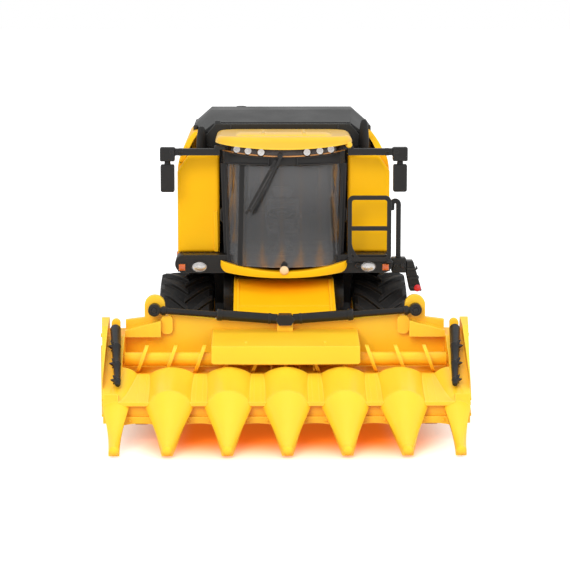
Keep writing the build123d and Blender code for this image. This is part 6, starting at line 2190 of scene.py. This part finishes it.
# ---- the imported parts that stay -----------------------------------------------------

ROUNDING_MM: dict[str, float] = {
    "header_frame": 0.3, "end_divider_left": 0.3, "end_divider_right": 0.3,
    "snouts": 0.15, "row_decks": 0.12, "auger_cover": 0.35, "front_panel_left": 0.45,
    "front_panel_right": 0.45, "side_panel_left": 0.4, "side_panel_right": 0.4,
    "straw_hood": 0.4, "feeder_house": 0.3, "tank_cover": 0.35, "cab_trim": 0.7,
    "platform": 0.45, "platform_rail": 0.3, "ladder_rail": 0.35, "ladder": 0.3,
    "mirror_left": 0.4, "mirror_right": 0.4, "tank_posts": 0.4, "cab_frame": 0.2,
    "light_band": 0.2, "engine_deck": 0.2, "chassis": 0.3, "tow_hitch": 0.25,
    "straw_chopper": 0.3, "lower_guard_left": 0.3, "lower_guard_right": 0.3,
    "body_core": 0.2, "auger_turret": 0.25, "unloading_tube": 0.1, "unloading_spout": 0.2,
    "wiper": 0.12, "fold_cylinders": 0.2, "end_augers": 0.15, "cross_auger": 0.1,
    "headlights": 0.25, "indicators": 0.2, "tail_lights": 0.2, "work_lights": 0.15,
}


def dress_frame(frame: dict, palette: Palette) -> None:
    """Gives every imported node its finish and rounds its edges.

    Args:
        palette: The materials.
    """
    slot_of = {node: entry["slot"] for entry in frame["record"]["materials"]
               for node in entry.get("nodes", [])}
    for name, node in frame["nodes"].items():
        word = slot_of.get(name) or node.data.materials[0].name
        node.data.materials.clear()
        # The cab roof takes the paler roof paint, a painted sheen.
        finish = palette.extra("roof") if name == "cab_roof" else palette.of(Slot(word))
        node.data.materials.append(finish)
        width = ROUNDING_MM.get(name)
        if width:
            round_edges(node, width)
        LOG.info("%s: %s", name, word)


# ---- studio -------------------------------------------------------------------------


@dataclass
class Studio:
    """Pale floor, soft lamps and the camera."""

    camera_at: Point = (-0.00601, -0.506, 0.09625)
    camera_down_deg: float = 8.3
    camera_turn: float = -0.013
    lens: float = 136.5
    floor_size: float = 6.0
    world: float = 0.7
    floor_colour: Colour = (0.82, 0.82, 0.82)
    glow_strength: float = 0.55
    # Bounds of the painted orange glow and its pale fringe on the floor, in metres.
    glow_ahead: tuple[float, float] = (-0.024, 0.004)       # from the decks' front edge
    glow_behind: tuple[float, float] = (0.045, 0.018)
    pale_glow_ahead: tuple[float, float] = (-0.040, -0.006)
    lamps: tuple[tuple[str, Point, Point, float, float], ...] = (
        ("key", (-0.35, -0.95, 0.6), (0, -0.02, 0.03), 0.6, 6.5),
        ("fill", (0.9, -0.3, 0.5), (0, -0.02, 0.03), 0.5, 2.5),
        ("top", (0.0, 0.15, 0.9), (0, 0, 0.03), 0.7, 2.0),
    )

    def floor(self) -> None:
        """Lays a pale floor with a painted warm glow under the header, standing in for the light
        that the header's plastic throws on it.
        """
        mesh = bpy.data.meshes.new("floor")
        half = self.floor_size / 2
        mesh.from_pydata([(-half, -half, 0), (half, -half, 0), (half, half, 0), (-half, half, 0)],
                         [], [(0, 1, 2, 3)])
        floor = bpy.data.objects.new("floor", mesh)
        bpy.context.scene.collection.objects.link(floor)
        material = bpy.data.materials.new("pale_floor")
        material.use_nodes = True
        desk = Desk(material.node_tree)
        spot = desk.add("ShaderNodeTexCoord").outputs["Object"]
        parts = desk.add("ShaderNodeSeparateXYZ")
        desk.feed(parts.inputs[0], spot)
        header = Box.of("row_decks")
        half_width = header.size.x / 2 * MM
        inside = desk.spread(desk.maths("ABSOLUTE", parts.outputs["X"]), half_width * 1.1,
                             half_width * 0.55)
        front = header.low.y * MM
        ahead, behind, reach = [desk.spread(parts.outputs["Y"], front + start, front + end)
                                for start, end in (self.glow_ahead, self.glow_behind,
                                                   self.pale_glow_ahead)]
        # Painted light: the orange glow and its pale fringe under the header.
        painted_glow = desk.maths("MULTIPLY", desk.maths("MULTIPLY", inside, ahead), behind)
        painted_pale_glow = desk.maths("MULTIPLY", desk.maths("MULTIPLY", inside, reach), behind)
        tint = desk.blend(painted_glow, desk.blend(painted_pale_glow, (1.0, 1.0, 1.0), shown(255, 250, 208)),
                          shown(246, 112, 30))
        surface = desk.add("ShaderNodeBsdfDiffuse")
        # Painted shadow and glow: the floor's own colour turns orange under the header.
        desk.feed(surface.inputs["Color"],
                  desk.blend(painted_glow, self.floor_colour, shown(244, 146, 52)))
        pale = desk.add("ShaderNodeEmission")
        desk.feed(pale.inputs["Color"], tint)
        pale.inputs["Strength"].default_value = self.glow_strength
        both = desk.add("ShaderNodeAddShader")
        desk.feed(both.inputs[0], surface.outputs[0])
        desk.feed(both.inputs[1], pale.outputs[0])
        path = desk.add("ShaderNodeLightPath")
        mix = desk.add("ShaderNodeMixShader")
        desk.feed(mix.inputs[0], path.outputs["Is Camera Ray"])
        desk.feed(mix.inputs[1], surface.outputs[0])
        desk.feed(mix.inputs[2], both.outputs[0])
        end = desk.add("ShaderNodeOutputMaterial")
        desk.feed(end.inputs["Surface"], mix.outputs[0])
        mesh.materials.append(material)

    def sky(self) -> None:
        """Lights the scene evenly, with plain white behind the object."""
        world = bpy.data.worlds.new("studio_world")
        bpy.context.scene.world = world
        world.use_nodes = True
        desk = Desk(world.node_tree)
        light = desk.add("ShaderNodeBackground")
        light.inputs["Strength"].default_value = self.world
        seen = desk.add("ShaderNodeBackground")
        seen.inputs["Strength"].default_value = 1.0
        for node in (light, seen):
            node.inputs["Color"].default_value = (1, 1, 1, 1)
        path = desk.add("ShaderNodeLightPath")
        straight = desk.maths("MAXIMUM", path.outputs["Is Camera Ray"],
                              path.outputs["Is Transmission Ray"])
        mix = desk.add("ShaderNodeMixShader")
        desk.feed(mix.inputs[0], straight)
        desk.feed(mix.inputs[1], light.outputs[0])
        desk.feed(mix.inputs[2], seen.outputs[0])
        end = desk.add("ShaderNodeOutputWorld")
        desk.feed(end.inputs["Surface"], mix.outputs[0])

    @staticmethod
    def lamp(name: str, place: Point, target: Point, size: float, power: float) -> None:
        """Hangs a soft square lamp.

        Args:
            name: Name of the lamp.
            place: Where it hangs.
            target: What it faces.
            size: Length of its side.
            power: Its power in watts.
        """
        light = bpy.data.lights.new(name, "AREA")
        light.size = size
        light.energy = power
        lamp = bpy.data.objects.new(name, light)
        lamp.visible_glossy = False
        lamp.location = place
        lamp.rotation_euler = (Vector(target) - Vector(place)).to_track_quat("-Z", "Y").to_euler()
        bpy.context.scene.collection.objects.link(lamp)

    def camera(self) -> None:
        """Stands the camera in front of the header, a little above it."""
        data = bpy.data.cameras.new("camera")
        data.lens = self.lens
        data.sensor_width = 36.0
        data.clip_start, data.clip_end = 0.02, 20.0
        camera = bpy.data.objects.new("camera", data)
        camera.location = self.camera_at
        camera.rotation_euler = (math.radians(90 - self.camera_down_deg), 0, self.camera_turn)
        bpy.context.scene.collection.objects.link(camera)
        bpy.context.scene.camera = camera

    def build(self) -> None:
        """Sets up floor, lamps, world and camera."""
        self.floor()
        self.sky()
        for lamp in self.lamps:
            self.lamp(*lamp)
        self.camera()
        bpy.context.scene.view_settings.view_transform = "Standard"


ASSEMBLIES = (RunningGear, Platform, Cab, Body, Unloader, Header)


def corners(bounds: tuple[Vector, Vector]) -> list[list[float]]:
    """Two corners as plain lists."""
    return [list(corner) for corner in bounds]


def main() -> None:
    """Builds the scene from the frame outwards."""
    logging.basicConfig(level=logging.INFO, format="%(name)s %(message)s")
    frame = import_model()
    palette = Palette()
    dress_frame(frame, palette)
    for assembly in ASSEMBLIES:
        LOG.info("building %s", assembly.__name__)
        assembly().build(palette)
    Studio().build()


if __name__ == "__main__":
    main()
